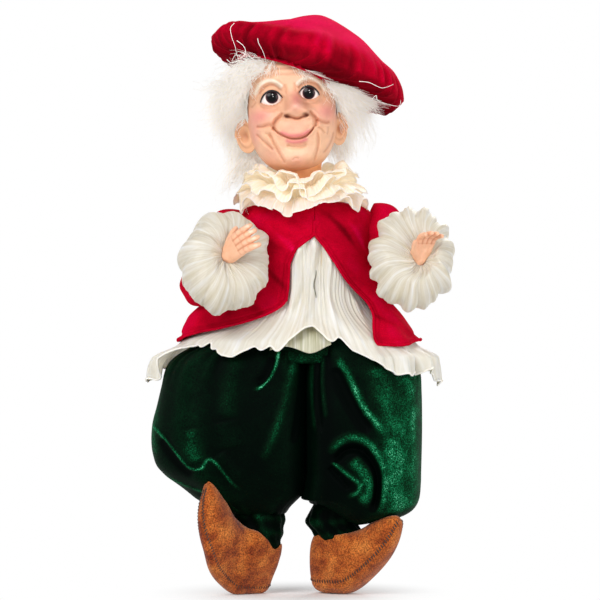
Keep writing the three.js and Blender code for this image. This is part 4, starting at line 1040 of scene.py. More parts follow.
wig_cap = soft_copy("wig_cap", "wig", cap_felt)
for vertex in wig_cap.data.vertices:
    x, y, z = np.array(vertex.co) / MM - ORIGIN - HEAD_FOOT
    x, z = spun(x, z, -HEAD_ROLL)
    skull = (np.array([x, y, z]) - SKULL_MIDDLE) / SKULL_HALF
    skull *= min(1, CAP_SHARE / np.linalg.norm(skull))
    vertex.co = Vector((rolled_head(SKULL_MIDDLE + skull * SKULL_HALF) + ORIGIN) * MM)
wear(wig_cap, "head", "mohair", "wig")
random = np.random.default_rng(HAIR_SEED)
for lock_name, specs in LOCKS.items():
    drawn = [hairs(spec, random) for spec in specs]
    lines = np.concatenate([d[0] for d in drawn])
    shades = np.concatenate([d[1] for d in drawn])
    taper = HAIR_RADIUS * np.linspace(1.15, 0.35, HAIR_STEPS)[None, :] * np.ones((len(lines), 1))
    locks = strands(lock_name, under_beret(rolled_head(lines)), taper, shades, HAIR_SIDES, mohair)
    wear(locks, "head", "mohair")
drawn = [curved(line, 40) for line in STRAYS]
loose = np.stack([line[np.linspace(0, len(line) - 1, STRAY_POINTS).astype(int)] for line in drawn])
thin = HAIR_RADIUS * np.linspace(1.3, 0.7, STRAY_POINTS)[None, :] * np.ones((len(loose), 1))
strays = strands("wig_strays", loose, thin, np.ones(len(loose)), STRAY_SIDES, mohair)
wear(strays, "head", "mohair")

# Beret: a round crown and a gathered under panel of crimson velvet, sewn at the rim.
# The under panel is drawn into a velvet band that fits the skull, so its edge puckers.
BAND_PLACE = np.array([-13.0, -13.5, -10.0])
BAND_HALF = np.array([43.6, 46.6])
BERET_COLUMNS = 288
CRIMSON_COLOUR = srgb("BE0026")
CRIMSON_PAINTED_SHADE = srgb("8C0016")
CRIMSON_PAINTED_HIGHLIGHT = srgb("E80550")
CRIMSON_NAP = srgb("FF0A3A")
# Profiles: share of the beret's radius and height over its rim
CROWN_PROFILE = [
    (0.0, 46), (0.12, 44.6), (0.3, 39), (0.5, 31), (0.7, 22.5), (0.86, 14.8), (0.95, 8.5), (1.0, 1.0),
]
UNDER_PROFILE = [(1.0, 1.0), (1.0, -2.4), (0.975, -5), (0.93, -6.6), (0.86, -7.4), (0.75, -7.8), (0.62, -8.6)]
VELVET_PILE = 1.2
RAISED_SIDE = 2.0
LUMP_HEIGHT = 1.6
BROAD_HEIGHT = 1.3
FINE_HEIGHT = 1.0
BROAD_REACH = 1.0
FINE_REACH = 0.9


def velvet(name, deep, colour, painted_highlight, nap_light, nap_weight, grain_size):
    """A pile cloth: a stored attribute lays painted light and painted shade on it, over a clouded tone and a
    fine grain.
    """
    material, nodes, links, shader = new_material(name, colour, 0.9)
    grain = add_grain(nodes, 45, grain_size)
    lie = add_node(nodes, "Attribute", attribute_name="nap_light")
    cloud = add_node(nodes, "Math", operation="MULTIPLY_ADD")
    cloud.inputs[1].default_value = 0.5
    cloud.inputs[2].default_value = 0.25
    half = add_node(nodes, "Math", operation="MULTIPLY_ADD")
    half.inputs[1].default_value = 0.5
    links.new(grain.outputs["Cloud"], cloud.inputs[0])
    links.new(lie.outputs["Fac"], half.inputs[0])
    links.new(cloud.outputs[0], half.inputs[2])
    # From deep painted shade through crimson to a painted highlight, picked by the stored painted light and
    # the cloud
    tones = [(0.05, shaded(deep, 0.45)), (0.3, deep), (0.52, colour), (0.95, painted_highlight)]
    tone = ramp(nodes, links, half.outputs[0], tones)
    fleck = ramp(nodes, links, grain.outputs["Grain"], [(0.3, grey(0.74)), (0.7, grey(1.14))])
    stain(nodes, links, shader, tone, fleck)
    fill(shader, Sheen_Weight=nap_weight, Sheen_Roughness=0.4, Sheen_Tint=nap_light, Specular_IOR_Level=0.03)
    add_bump(nodes, links, shader, grain.outputs["Grain"], 0.35, 0.0005)
    return material


def store_painted_light(mesh, values):
    """Stores the painted light and painted shade on each point of a pile cloth."""
    layer = mesh.attributes.new("nap_light", "FLOAT", "POINT")
    layer.data.foreach_set("value", np.ascontiguousarray(values, np.float32).ravel())


def ripple(turn, counts, seed):
    """An uneven wave round a ring, about from -1 to 1."""
    random = np.random.default_rng(seed)
    total = np.zeros(np.shape(turn))
    for count in counts:
        strength, phase = random.uniform(0.5, 1.0), random.uniform(0, 2 * math.pi)
        total = total + strength * np.sin(count * turn + phase)
    return total / (0.75 * len(counts) ** 0.6)


def cloth(name, points, material, looped=False, thick=0.0, closed_ends=False):
    """A sheet through rows of points in millimetres, with a UV map in metres along the cloth."""
    rows, columns = points.shape[:2]
    faces = tube_faces(rows, columns, looped)
    mesh = mesh_of(name, points.reshape(-1, 3), faces)
    wide = np.concatenate([points, points[:, :1]], 1) if looped else points
    across = np.linalg.norm(np.diff(wide, axis=1), axis=2).mean(0)
    down = np.linalg.norm(np.diff(points, axis=0), axis=2).mean(1)
    across = np.concatenate([[0], np.cumsum(across)]) * MM
    down = np.concatenate([[0], np.cumsum(down)]) * MM
    cells = columns if looped else columns - 1
    row, column = np.divmod(np.arange((rows - 1) * cells), cells)
    corners = ((0, 0), (1, 0), (1, 1), (0, 1))
    corner = np.stack([np.stack([across[column + a], down[row + b]], -1) for a, b in corners], 1)
    layer = mesh.uv_layers.new(name="cloth")
    layer.uv.foreach_set("vector", corner.astype(np.float32).ravel())
    if closed_ends:
        outward(mesh)
    made = new_object(name, mesh, material)
    if thick:
        depth = made.modifiers.new("thickness", "SOLIDIFY")
        depth.thickness = thick * MM
        depth.offset = -1.0
        depth.use_even_offset = False
    return made


crimson = velvet("crimson_velvet", CRIMSON_PAINTED_SHADE, CRIMSON_COLOUR, CRIMSON_PAINTED_HIGHLIGHT, CRIMSON_NAP, 0.3, 1300)
turn = full_turn(BERET_COLUMNS)
fine = ripple(turn, (31, 38, 45, 53), 3)
broad = ripple(turn, (5, 7, 9, 12), 4)
lump = ripple(turn, (2, 3), 5)
raised = RAISED_SIDE * smooth((-np.cos(turn) - 0.2) / 0.8)

profile = curved(CROWN_PROFILE, 8)
r, z = profile[:, :1], profile[:, 1:]
outer = smooth((r - 0.55) / 0.45)
rim = smooth((r - 0.78) / 0.22)
radius = BERET_RADIUS * r + outer * (BROAD_REACH * broad + FINE_REACH * fine * rim)
height = z + LUMP_HEIGHT * lump * smooth(r / 0.4) + BROAD_HEIGHT * broad * outer
height = height + FINE_HEIGHT * fine * rim + raised * outer
lowered = 6.0 * np.maximum(-np.cos(turn), 0) - 3.5 * np.maximum(np.cos(turn), 0)
height = height - smooth(r / 0.5) * (1 - smooth((r - 0.8) / 0.2)) * lowered
dent = np.sin(5 * turn + 9 * r) * smooth((r - 0.3) / 0.3) * (1 - rim)
height = height + 0.9 * dent
crown = np.stack([radius * np.cos(turn), radius * np.sin(turn), height], -1)
beret_crown = cloth("beret_crown_velvet", beret_frame(crown)[::-1], crimson, looped=True, thick=VELVET_PILE)
# Painted light on the crown: lighter at the top and along the folds, darker towards the rim.
crown_painted_light = 0.78 - 0.98 * smooth((r - 0.7) / 0.3) + 0.1 * dent + (0.2 * fine + 0.15 * broad) * outer
store_painted_light(beret_crown.data, np.clip(crown_painted_light, -1, 1)[::-1])

profile = curved(UNDER_PROFILE, 8)
r, z = profile[:, :1], profile[:, 1:]
start = np.arange(len(profile))[:, None] / (len(profile) - 1)
pleat = smooth(start / 0.25) * (1 - 0.7 * smooth((start - 0.7) / 0.3))
edge_height = LUMP_HEIGHT * lump + BROAD_HEIGHT * broad + FINE_HEIGHT * fine + raised
seam = (1 - pleat) * (BROAD_REACH * broad + FINE_REACH * fine) * (1 - start)
radius = BERET_RADIUS * r + seam + pleat * (1.7 * fine + 1.0 * broad)
height = z + edge_height * (1 - smooth(start / 0.6)) + pleat * (2.6 * fine + 1.0 * broad)
flat = np.stack([radius * np.cos(turn), radius * np.sin(turn), height], -1)
band = np.stack([BAND_HALF[0] * np.cos(turn), BAND_HALF[1] * np.sin(turn), 0.8 * fine], -1) + BAND_PLACE
gathered = smooth((start - 0.45) / 0.55)[..., None]
under = flat * (1 - gathered) + band * gathered
beret_under = cloth("beret_under_velvet", beret_frame(under)[::-1], crimson, looped=True, thick=VELVET_PILE)
# Painted shade on the under panel: darker further in towards the band, lighter and darker along the pleats.
under_painted_light = -0.2 + 0.2 * fine + 0.15 * broad - 0.35 * smooth(start / 0.3) + 0.15 * pleat * fine
store_painted_light(beret_under.data, np.clip(under_painted_light, -1, 1)[::-1])
beret_band = soft_copy("beret_band_velvet", "beret_band", crimson)
wear(beret_crown, "head", "crimson_velvet", "beret_crown")
wear(beret_under, "head", "crimson_velvet", "beret_under_panel")
wear(beret_band, "head", "crimson_velvet", "beret_band")

# Shirt: cream organza, gathered into the neck, flaring below the waist into a loose tail.
# A narrow rolled hem runs round the tail, which is caught up in a fold at the front.
ORGANZA_COLOUR = srgb("EFE7D3")
ORGANZA_SHADE = srgb("DCD0B6")
ORGANZA_HEM = srgb("FBF4E6")
ORGANZA_THICKNESS = 0.4
TORSO_X = 3.0
TORSO_BASE = 226.0
TORSO_HEIGHT = 80
NECK_HALF = 22
WAIST = 250
SWING_WIDE = 48
SWING_DEEP = 20
SWING_SHIFT = 7
FLARE_WIDE = 0.95
FLARE_DEEP = 0.5
SHIRT_TOP = 302.0
SHIRT_ROWS = 82
SHIRT_COLUMNS = 540
JACKET_HEM = 203.0
TAIL_FLARE = 14.0
SHIRT_LAYER = 1.4
LOOSE_BELOW = 199
HEM_RADIUS = 0.85
PLACKET_X = 9.5
PLACKET_ENDS = (258.0, 236.0)
PLACKET_POINTS = 24
PLACKET_PROUD = 0.3
BEHIND = 100
# Hem heights round the tail, by degrees from the doll's left through its front
SHIRT_HEM = [
    (-180, 170), (-170, 172), (-163, 188), (-155, 198), (-148, 197), (-138, 200), (-128, 193), (-121, 191),
    (-115, 194), (-110, 198), (-104, 197), (-100, 195), (-96, 200), (-91, 210), (-85, 214), (-79, 210),
    (-75, 204), (-70, 204), (-63, 196), (-57, 188), (-52, 182), (-45, 177), (-36, 176), (-27, 177),
    (-20, 180), (-14, 176), (-6, 168), (4, 170), (14, 178), (40, 186), (70, 188), (90, 184), (110, 188),
    (140, 186), (165, 178), (180, 170),
]
# The jacket's front edges: height, place of the right edge and of the left edge
FRONT_OPENING = [
    (198, -13, 59), (212, -13, 52), (233, -12, 43), (244, -11, 36), (255, -11, 30), (263, -11, 26),
    (275, -6, 18), (286, 8.8, 9.2), (303, 8.9, 9.1),
]


def streak_group():
    """Fine streaks that run along the cloth, from its UV map in metres."""
    tree = bpy.data.node_groups.new("cloth_streaks", "ShaderNodeTree")
    for name, value in (("Across", 900.0), ("Along", 40.0)):
        socket = tree.interface.new_socket(name, in_out="INPUT", socket_type="NodeSocketFloat")
        socket.default_value = value
    tree.interface.new_socket("Streak", in_out="OUTPUT", socket_type="NodeSocketFloat")
    given = tree.nodes.new("NodeGroupInput")
    result = tree.nodes.new("NodeGroupOutput")
    place = add_node(tree.nodes, "TexCoord")
    axes = add_node(tree.nodes, "CombineXYZ")
    drawn = add_node(tree.nodes, "VectorMath", operation="MULTIPLY")
    noise = add_node(tree.nodes, "TexNoise", Scale=1.0, Detail=3.0, Roughness=0.6)
    tree.links.new(given.outputs["Across"], axes.inputs["X"])
    tree.links.new(given.outputs["Along"], axes.inputs["Y"])
    tree.links.new(place.outputs["UV"], drawn.inputs[0])
    tree.links.new(axes.outputs[0], drawn.inputs[1])
    tree.links.new(drawn.outputs[0], noise.inputs["Vector"])
    tree.links.new(noise.outputs[0], result.inputs["Streak"])
    return tree


STREAKS = streak_group()


def organza(name, colour, shade, across, along, glow=0.45, painted_light=0.0):
    """A crinkled cloth with streaks of light along its gathers."""
    material, nodes, links, shader = new_material(name, colour, 0.45)
    streaks = nodes.new("ShaderNodeGroup")
    streaks.node_tree = STREAKS
    fill(streaks, Across=across, Along=along)
    tones = [(0.25, shade), (0.52, colour), (0.8, srgb("FFFCF5"))]
    links.new(ramp(nodes, links, streaks.outputs["Streak"], tones), shader.inputs["Base Color"])
    # Emission here is a painted glow, standing in for light passing through the thin organza.
    fill(shader, Sheen_Weight=0.25, Emission_Color=colour, Emission_Strength=painted_light)
    fill(shader, Subsurface_Weight=glow, Subsurface_Radius=(1.0, 0.85, 0.6), Subsurface_Scale=0.004)
    add_bump(nodes, links, shader, streaks.outputs["Streak"], 0.3, 0.001)
    return material


def torso_half(z):
    """Half width and half depth of the stuffed torso at a height."""
    t = np.clip((z - TORSO_BASE) / TORSO_HEIGHT, 0, 1)
    slope = smooth((t - 0.76) / 0.24)
    width = 42 + 4 * smooth(t / 0.6)
    depth = 34 + smooth(t / 0.6)
    return width + (NECK_HALF - width) * slope, depth + (NECK_HALF - depth) * slope


def skirt_half(z, layer):
    """Half width, half depth and middle of a layer of clothes that flares below the waist."""
    width, depth = torso_half(z)
    fall = np.maximum(0, (WAIST - z) / (WAIST - JACKET_HEM))
    swing = np.where(fall < 1, fall * fall, 2 * fall - 1)
    below = np.maximum(0, JACKET_HEM - z)
    swing = np.where(z < JACKET_HEM, 1.0, swing)
    flare = np.minimum(below, TAIL_FLARE) + 0.2 * np.maximum(0, below - TAIL_FLARE)
    wide = width + layer + SWING_WIDE * swing + FLARE_WIDE * flare
    deep = depth + layer + SWING_DEEP * swing + FLARE_DEEP * flare
    return wide, deep, TORSO_X - SWING_SHIFT * np.minimum(1, fall) ** 2


def opening_at(z):
    """Where the jacket's right and left front edges lie at a height."""
    heights, right, left = np.array(FRONT_OPENING).T
    return np.interp(z, heights, right), np.interp(z, heights, left)


def eased_table(table, value):
    """A smooth line through a table of places and values."""
    line = curved(table, 6)
    return np.interp(value, line[:, 0], line[:, 1])


def add_hem(name, line, radius, sides):
    """A rolled hem along a closed edge of organza on the torso."""
    hem = tube_along(name, np.concatenate([line, line[:1]]), radius, organza_hem, sides)
    wear(hem, "torso", "cream_organza")


organza_shirt = organza("cream_organza", ORGANZA_COLOUR, ORGANZA_SHADE, 270, 14)
turn = np.linspace(-math.pi, math.pi, SHIRT_COLUMNS, endpoint=False)[None, :]
down = np.linspace(0, 1, SHIRT_ROWS)[:, None]
gather = ripple(turn, (23, 31, 41, 52), 21)
wide_fold = ripple(turn + 0.12 * np.sin(3 * down + 5 * turn), (7, 11, 16), 22)
crinkle = ripple(turn, (71, 97, 120), 23)
hem_height = eased_table(SHIRT_HEM, np.degrees(turn)) + 1.4 * gather
z = SHIRT_TOP + (hem_height - SHIRT_TOP) * down
wide, deep, middle = skirt_half(z, SHIRT_LAYER)
x = middle + wide * np.cos(turn)
right_edge, left_edge = opening_at(z)
shown = smooth((x - right_edge + 2) / 8) * smooth((left_edge + 2 - x) / 8) * (np.sin(turn) < 0)
loose = smooth((LOOSE_BELOW - z) / 9)
free = np.maximum(shown, loose)
push = free * (1.6 + 2.4 * wide_fold + 0.5 * gather + 0.25 * crinkle)
push = push + loose * (1.5 + 2.6 * wide_fold + 1.6 * gather)
push = push + 0.2 * crinkle + 1.2 * shown * np.sin(0.13 * z + 7 * turn + 2.5 * wide_fold)
caught = bell((np.degrees(turn) + 86) / 7) * smooth((222 - z) / 14)
push = push + 7 * caught
sideways = smooth((np.abs(np.cos(turn)) - 0.7) / 0.3) * smooth((JACKET_HEM - z) / 24)
push = push + sideways * np.where(np.cos(turn) < 0, 8.0, 1.0)
shirt = np.stack([middle + (wide + push) * np.cos(turn), (deep + push) * np.sin(turn), z], -1)
shirt_cloth = cloth("shirt_organza", shirt[::-1], organza_shirt, looped=True, thick=ORGANZA_THICKNESS)
wear(shirt_cloth, "torso", "cream_organza", "shirt_bodice", "shirt_peplum")
organza_hem = organza("organza_hem", ORGANZA_HEM, ORGANZA_SHADE, 900, 200)
add_hem("shirt_hem", shirt[-1], HEM_RADIUS, 6)

# Placket: the front of the shirt is slit below the collar.
# The slit is drawn as a dark tube in the gathers, a painted shadow in the opening.
placket_z = np.linspace(*PLACKET_ENDS, PLACKET_POINTS)
placket_x = PLACKET_X + 0.8 * np.sin(0.3 * placket_z)
placket_y = []
for x_at, z_at in zip(placket_x, placket_z):
    off = np.hypot(shirt[..., 0] - x_at, shirt[..., 2] - z_at) + BEHIND * (shirt[..., 1] > 0)
    placket_y.append(shirt[..., 1].flat[off.argmin()])
placket_line = np.stack([placket_x, np.array(placket_y) - PLACKET_PROUD, placket_z], -1)
placket_width = 0.65 * np.sin(math.pi * np.linspace(0.04, 0.96, PLACKET_POINTS)) ** 0.7
slit_painted_shadow = organza("organza_painted_slit_shadow", srgb("6E6A55"), srgb("4A4736"), 420, 22, glow=0.0)
slit_shadow = tube_along("shirt_slit_shadow", placket_line, placket_width, slit_painted_shadow, 6)
wear(slit_shadow, "torso", "cream_organza")

# Inside of the shirt tail, seen under the fold that is caught up at the front.
# It is the same organza, coloured darker as painted shade, because it lies in the shade of the tail.
FOLD_LEFT, FOLD_RIGHT = -26.0, 22.0
FOLD_TOP, FOLD_BASE = 220.0, 195.0
FOLD_LAYER = -3.0
FOLD_PAINTED_SHADE_COLOUR = srgb("C9C3A4")
FOLD_SHADE = srgb("9A956F")
organza_inside_painted_shade = organza("organza_inside_painted_shade", FOLD_PAINTED_SHADE_COLOUR, FOLD_SHADE, 420, 22)
across = np.linspace(FOLD_LEFT, FOLD_RIGHT, 60)[None, :]
down = np.linspace(0, 1, 20)[:, None]
fold_hem = FOLD_BASE + 3.0 * np.sin((across - FOLD_LEFT) / 7.5) + 4.0 * smooth((across - 2) / 18)
z = FOLD_TOP + (fold_hem - FOLD_TOP) * down
wide, deep, middle = skirt_half(z, FOLD_LAYER)
y = -deep * np.sqrt(np.clip(1 - ((across - middle) / wide) ** 2, 0, 1)) - 1.5 * down * np.sin(across / 4.2)
fold = np.stack([across + 0 * z, y, z], -1)
fold_cloth = cloth("shirt_inside_fold", fold[::-1], organza_inside_painted_shade, thick=ORGANZA_THICKNESS)
wear(fold_cloth, "torso", "cream_organza")

# Collar: four crinkled frills of cream organza gathered round the neck.
# The lowest lies on the shoulders and the others stand up round the jaw, open at the throat.
COLLAR_COLUMNS = 580
COLLAR_ROWS = 26
COLLAR_X = -1.0
COLLAR_RADIUS = 18.0
FRILL_WAVE = 4.4
FRILL_CRUMPLE = 0.6
FRILL_HEM_RADIUS = 0.5
# Frills: height at the neck, length, angle in front, at the sides and behind, waves, seed, flat cut
FRILLS = {
    "collar_low_frill": (311.0, 39.0, -6, 2, 2, 12, 31, (0.3, 0.039)),
    "collar_shoulder_frill": (314.0, 38.0, 5, 12, 10, 11, 34, (0.27, 0.038)),
    "collar_middle_frill": (317.0, 35.0, 13, 32, 28, 10, 32, (0.25, 0.036)),
    "collar_high_frill": (320.0, 31.0, 20, 45, 46, 9, 33, (0.21, 0.032)),
}
FRILL_NODES = {"collar_low_frill": ["collar_lower_ruffle"], "collar_high_frill": ["collar_upper_ruffle"]}
# The frills are coloured a lighter cream than the shirt and glow faintly: painted light.
frill_organza_painted_light = organza("frill_organza_painted_light", srgb("FBEBD0"), srgb("F3DCB4"), 500, 30, glow=0.8, painted_light=0.12)
turn = np.linspace(-math.pi, math.pi, COLLAR_COLUMNS, endpoint=False)[None, :]
s = np.linspace(0, 1, COLLAR_ROWS)[:, None]
towards = -np.sin(turn)
for frill_name, (foot, length, front, side, back, waves, seed, cut) in FRILLS.items():
    forward = side + (front - side) * np.maximum(towards, 0) ** 2.5
    angle = np.where(towards > 0, forward, side + (back - side) * np.abs(towards))
    angle = np.radians(angle + 6 * ripple(turn, (3, 4, 6), seed + 10))
    phase = waves * (turn + 0.11 * ripple(turn, (3, 5, 7), seed))
    wave = np.sin(phase) * (0.75 + 0.5 * ripple(turn, (2, 3, 5), seed + 50)) + 0.2 * np.sin(2.3 * phase + 1.0)
    fine = ripple(turn, (58, 77, 91), seed + 20)
    crumple = ripple(turn + 0.25 * s, (33, 41, 49), seed + 40) * np.sin(math.pi * s) ** 0.5
    reach = length * (1 + 0.035 * ripple(turn, (7, 11, 16), seed + 30))
    out = COLLAR_RADIUS + reach * s * np.cos(angle) * (1 - 0.1 * s)
    rise = reach * (s * np.sin(angle) + 0.25 * np.sin(math.pi * s * 0.8) - 0.16 * s * s)
    lift = FRILL_WAVE * s**0.8 * wave + 0.45 * fine * (1 - 0.5 * s) + FRILL_CRUMPLE * crumple
    along = turn - (1.6 * s * np.sin(2 * phase)) / np.maximum(out, 10)
    out = out - lift * np.sin(angle)
    rise = rise + lift * np.cos(angle)
    points = np.stack([COLLAR_X + out * np.cos(along), out * 0.98 * np.sin(along), foot + rise], -1)
    frill = cloth(frill_name, points[::-1], frill_organza_painted_light, looped=True, thick=ORGANZA_THICKNESS)
    wear(frill, "torso", "cream_organza", *FRILL_NODES.get(frill_name, []))
    add_hem(frill_name + "_hem", points[-1], FRILL_HEM_RADIUS, 5)

# Jacket: short, crimson velvet, cut in one round the back and sewn shut at the breastbone.
# Its fronts swing open below the seam, and every edge is turned under and stitched.
JACKET_TOP = 312.5
JACKET_ROWS = 85
JACKET_COLUMNS = 410
EDGE_START = JACKET_ROWS // 5
JACKET_LAYER = 5.2
JACKET_THICKNESS = 1.8
JACKET_EDGE_RADIUS = 1.25
FIRST_HEM = 205
HEM_ROUNDS = 6
STITCH_INSET = 4.6
GROOVE_WIDTH = 0.9
GROOVE_DEPTH = 0.7
GROOVE_TOP = 284
# Heights and how far each side stands out there beyond the flare
RIGHT_FULLNESS = [
    (199, 0), (204, 1), (210, 12.5), (216, 21), (224, 28), (235, 26), (250, 13), (266, 2), (320, 0),
]
LEFT_FULLNESS = [(199, 3), (205, 5), (213, 11.5), (225, 16), (240, 13), (255, 6), (270, 1), (320, 0)]
# Hem heights by degrees, from the doll's right front round the back to its left front
JACKET_HEMLINE = [
    (-420, 199), (-409, 199.5), (-394, 199), (-371, 203), (-360, 202.5), (-315, 203), (-270, 206),
    (-225, 204), (-180, 202), (-172, 203), (-160, 207), (-151, 209.5), (-140, 212), (-130, 215),
    (-122, 219), (-116, 222.5), (-111, 226.5), (-107, 231), (-104, 235), (-90, 238),
]
# Height, half width and half depth over the shoulders
SHOULDER_LINE = [
    (276, 51, 38.8), (290, 53, 38), (299, 53, 36.8), (305, 50.5, 34.6), (309, 46, 31), (312.5, 30, 24),
]


def jacket_half(z):
    """Half width, half depth and middle of the jacket at a height."""
    wide, deep, middle = skirt_half(np.maximum(z, JACKET_HEM), JACKET_LAYER)
    over = smooth((z - 272) / 12)
    line = curved(SHOULDER_LINE, 8)
    shoulder_wide = np.interp(z, line[:, 0], line[:, 1])
    shoulder_deep = np.interp(z, line[:, 0], line[:, 2])
    return wide + (shoulder_wide - wide) * over, deep + (shoulder_deep - deep) * over, middle


def front_turn(x, z):
    """The angle round the jacket at which its front lies at a place across."""
    wide, _, middle = jacket_half(z)
    return -np.arccos(np.clip((x - middle) / wide, -0.995, 0.995))


across = np.linspace(0, 1, JACKET_COLUMNS)[None, :]
down = np.linspace(0, 1, JACKET_ROWS)[:, None]
z = JACKET_TOP + (FIRST_HEM - JACKET_TOP) * down + 0 * across
for _ in range(HEM_ROUNDS):
    right_edge, left_edge = opening_at(z)
    right_turn = front_turn(right_edge, z)
    left_turn = front_turn(left_edge, z) - 2 * math.pi
    turn = right_turn + (left_turn - right_turn) * across
    hem = eased_table(JACKET_HEMLINE, np.degrees(turn))
    z = JACKET_TOP + (hem - JACKET_TOP) * down
wide, deep, middle = jacket_half(z)
full = np.where(np.cos(turn) < 0, eased_table(RIGHT_FULLNESS, z), eased_table(LEFT_FULLNESS, z))
full = full * np.abs(np.cos(turn)) ** 1.5
sway = smooth((262 - z) / 55)
fold = ripple(turn, (5, 8, 11), 41)
push = sway * 2.0 * fold + 0.6 * ripple(turn + 0.01 * z, (13, 19), 42) * sway
yoke = smooth((z - 262) / 20) * np.sin(0.3 * z + 5 * turn) * 0.6
edge_gap = np.minimum(across, 1 - across) * wide * 5.5
hem_gap = (z - hem) * 1.03
groove = bell((hem_gap - STITCH_INSET) / GROOVE_WIDTH)
groove = groove + bell((edge_gap - STITCH_INSET) / GROOVE_WIDTH) * (z < GROOVE_TOP)
groove = np.minimum(groove, 1)
push = push + yoke - GROOVE_DEPTH * groove
jacket = np.stack([middle + (wide + full + push) * np.cos(turn), (deep + push) * np.sin(turn), z], -1)
jacket_cloth = cloth("jacket_velvet", jacket, crimson, thick=JACKET_THICKNESS)
# Painted light on the jacket: lighter along the folds and darker in the stitched grooves, over random patches
# of crushed pile.
bruises = ripple(turn + 0.02 * z, (7, 11, 17), 43) * np.sin(0.11 * z + 2 * turn)
jacket_crush_and_painted_light = 0.12 * fold * sway + 0.35 * bruises**3 - 0.12 * groove
store_painted_light(jacket_cloth.data, np.clip(jacket_crush_and_painted_light, -1, 1))
wear(jacket_cloth, "torso", "crimson_velvet", "jacket_back", "jacket_right_front", "jacket_left_front")
edge_line = np.concatenate([jacket[EDGE_START:, 0], jacket[-1, 1:], jacket[EDGE_START:-1, -1][::-1]])
jacket_edge = tube_along("jacket_edge", edge_line[::2], JACKET_EDGE_RADIUS, crimson, 8)
wear(jacket_edge, "torso", "crimson_velvet")

# Bloomers: dark green panne velvet, full and lightly stuffed, each leg gathered at the knee.
# The seat is drawn onto a waist elastic under the shirt.
PANNE_COLOUR = srgb("0B3A26")
PANNE_NAP = srgb("2F9A6B")
# Colours from painted shade to painted light, picked by the painted light stored on the cloth
PANNE_PAINTED_LIGHT_TONES = [
    (0.0, srgb("000302")),
    (0.2, srgb("03200F")),
    (0.48, srgb("07512F")),
    (0.78, srgb("1C8254")),
    (1.0, srgb("62C197")),
]
LEG_ROWS = 250
LEG_COLUMNS = 300
SECTION_STEPS = 40001
LEG_SEEDS = {"right": 51, "left": 61}
SEAT_SEED = 55
OUTER_SQUARENESS = 0.86
INNER_SQUARENESS = 0.26
LEG_SPLIT = 138.0
HIP_BLEND = (186.0, 138.0)
KNEE_BLEND = (98.0, 66.0)
FOLD_LIGHT = 1.35
CROTCH_SHADE = 0.14
# Height, outer edge, inner edge and half depth, from the mouth up to the waist
LEG_LINES = {
    "right": [
        (72, -54, -15.5, 19.5), (65.5, -56, -14.5, 20.8), (64.5, -59, -13.6, 23), (66.5, -66, -12, 28.5),
        (70, -75, -9.5, 34), (75.5, -85, -4, 40), (80, -91, 0.5, 43.5), (84, -96, 2.4, 46),
        (93, -108, 2.4, 51), (101, -116.5, 2.4, 53.5), (110, -120, 2.4, 55), (122, -121.5, 2.4, 56),
        (136, -120.5, 2.4, 56), (150, -117, 2.4, 54.5), (165, -113.5, 2.4, 52), (180, -109.5, 2.4, 49.5),
        (190, -101, 2.4, 46.5), (200, -83, 2.4, 42.5), (212, -61, 2.4, 37.5), (224, -40, 2.4, 31),
    ],
    "left": [
        (66, 44, 7, 20), (60, 46, 6.5, 21.5), (57.5, 50, 6, 25), (58, 58, 5, 30), (60, 71, 4, 36.5),
        (63, 82, 2.6, 41.5), (68, 89, 0.4, 46), (76, 93, -1.6, 49.5), (88, 94.2, 0, 53),
        (97, 94.4, 2.1, 54.6), (105, 94.6, 2.1, 55.5), (125, 95, 2.1, 56), (145, 95, 2.1, 55),
        (162, 94.6, 2.1, 52.4), (177, 93.5, 2.1, 50), (190, 87, 2.1, 46.5), (200, 75, 2.1, 42.5),
        (212, 57, 2.1, 37.5), (224, 43, 2.1, 31),
    ],
}
MOUTH_TILT = {"right": 0.0, "left": 15.0}
KNEES = {"right": np.array([-36.0, -4.0, 81.0]), "left": np.array([30.0, -4.0, 74.0])}
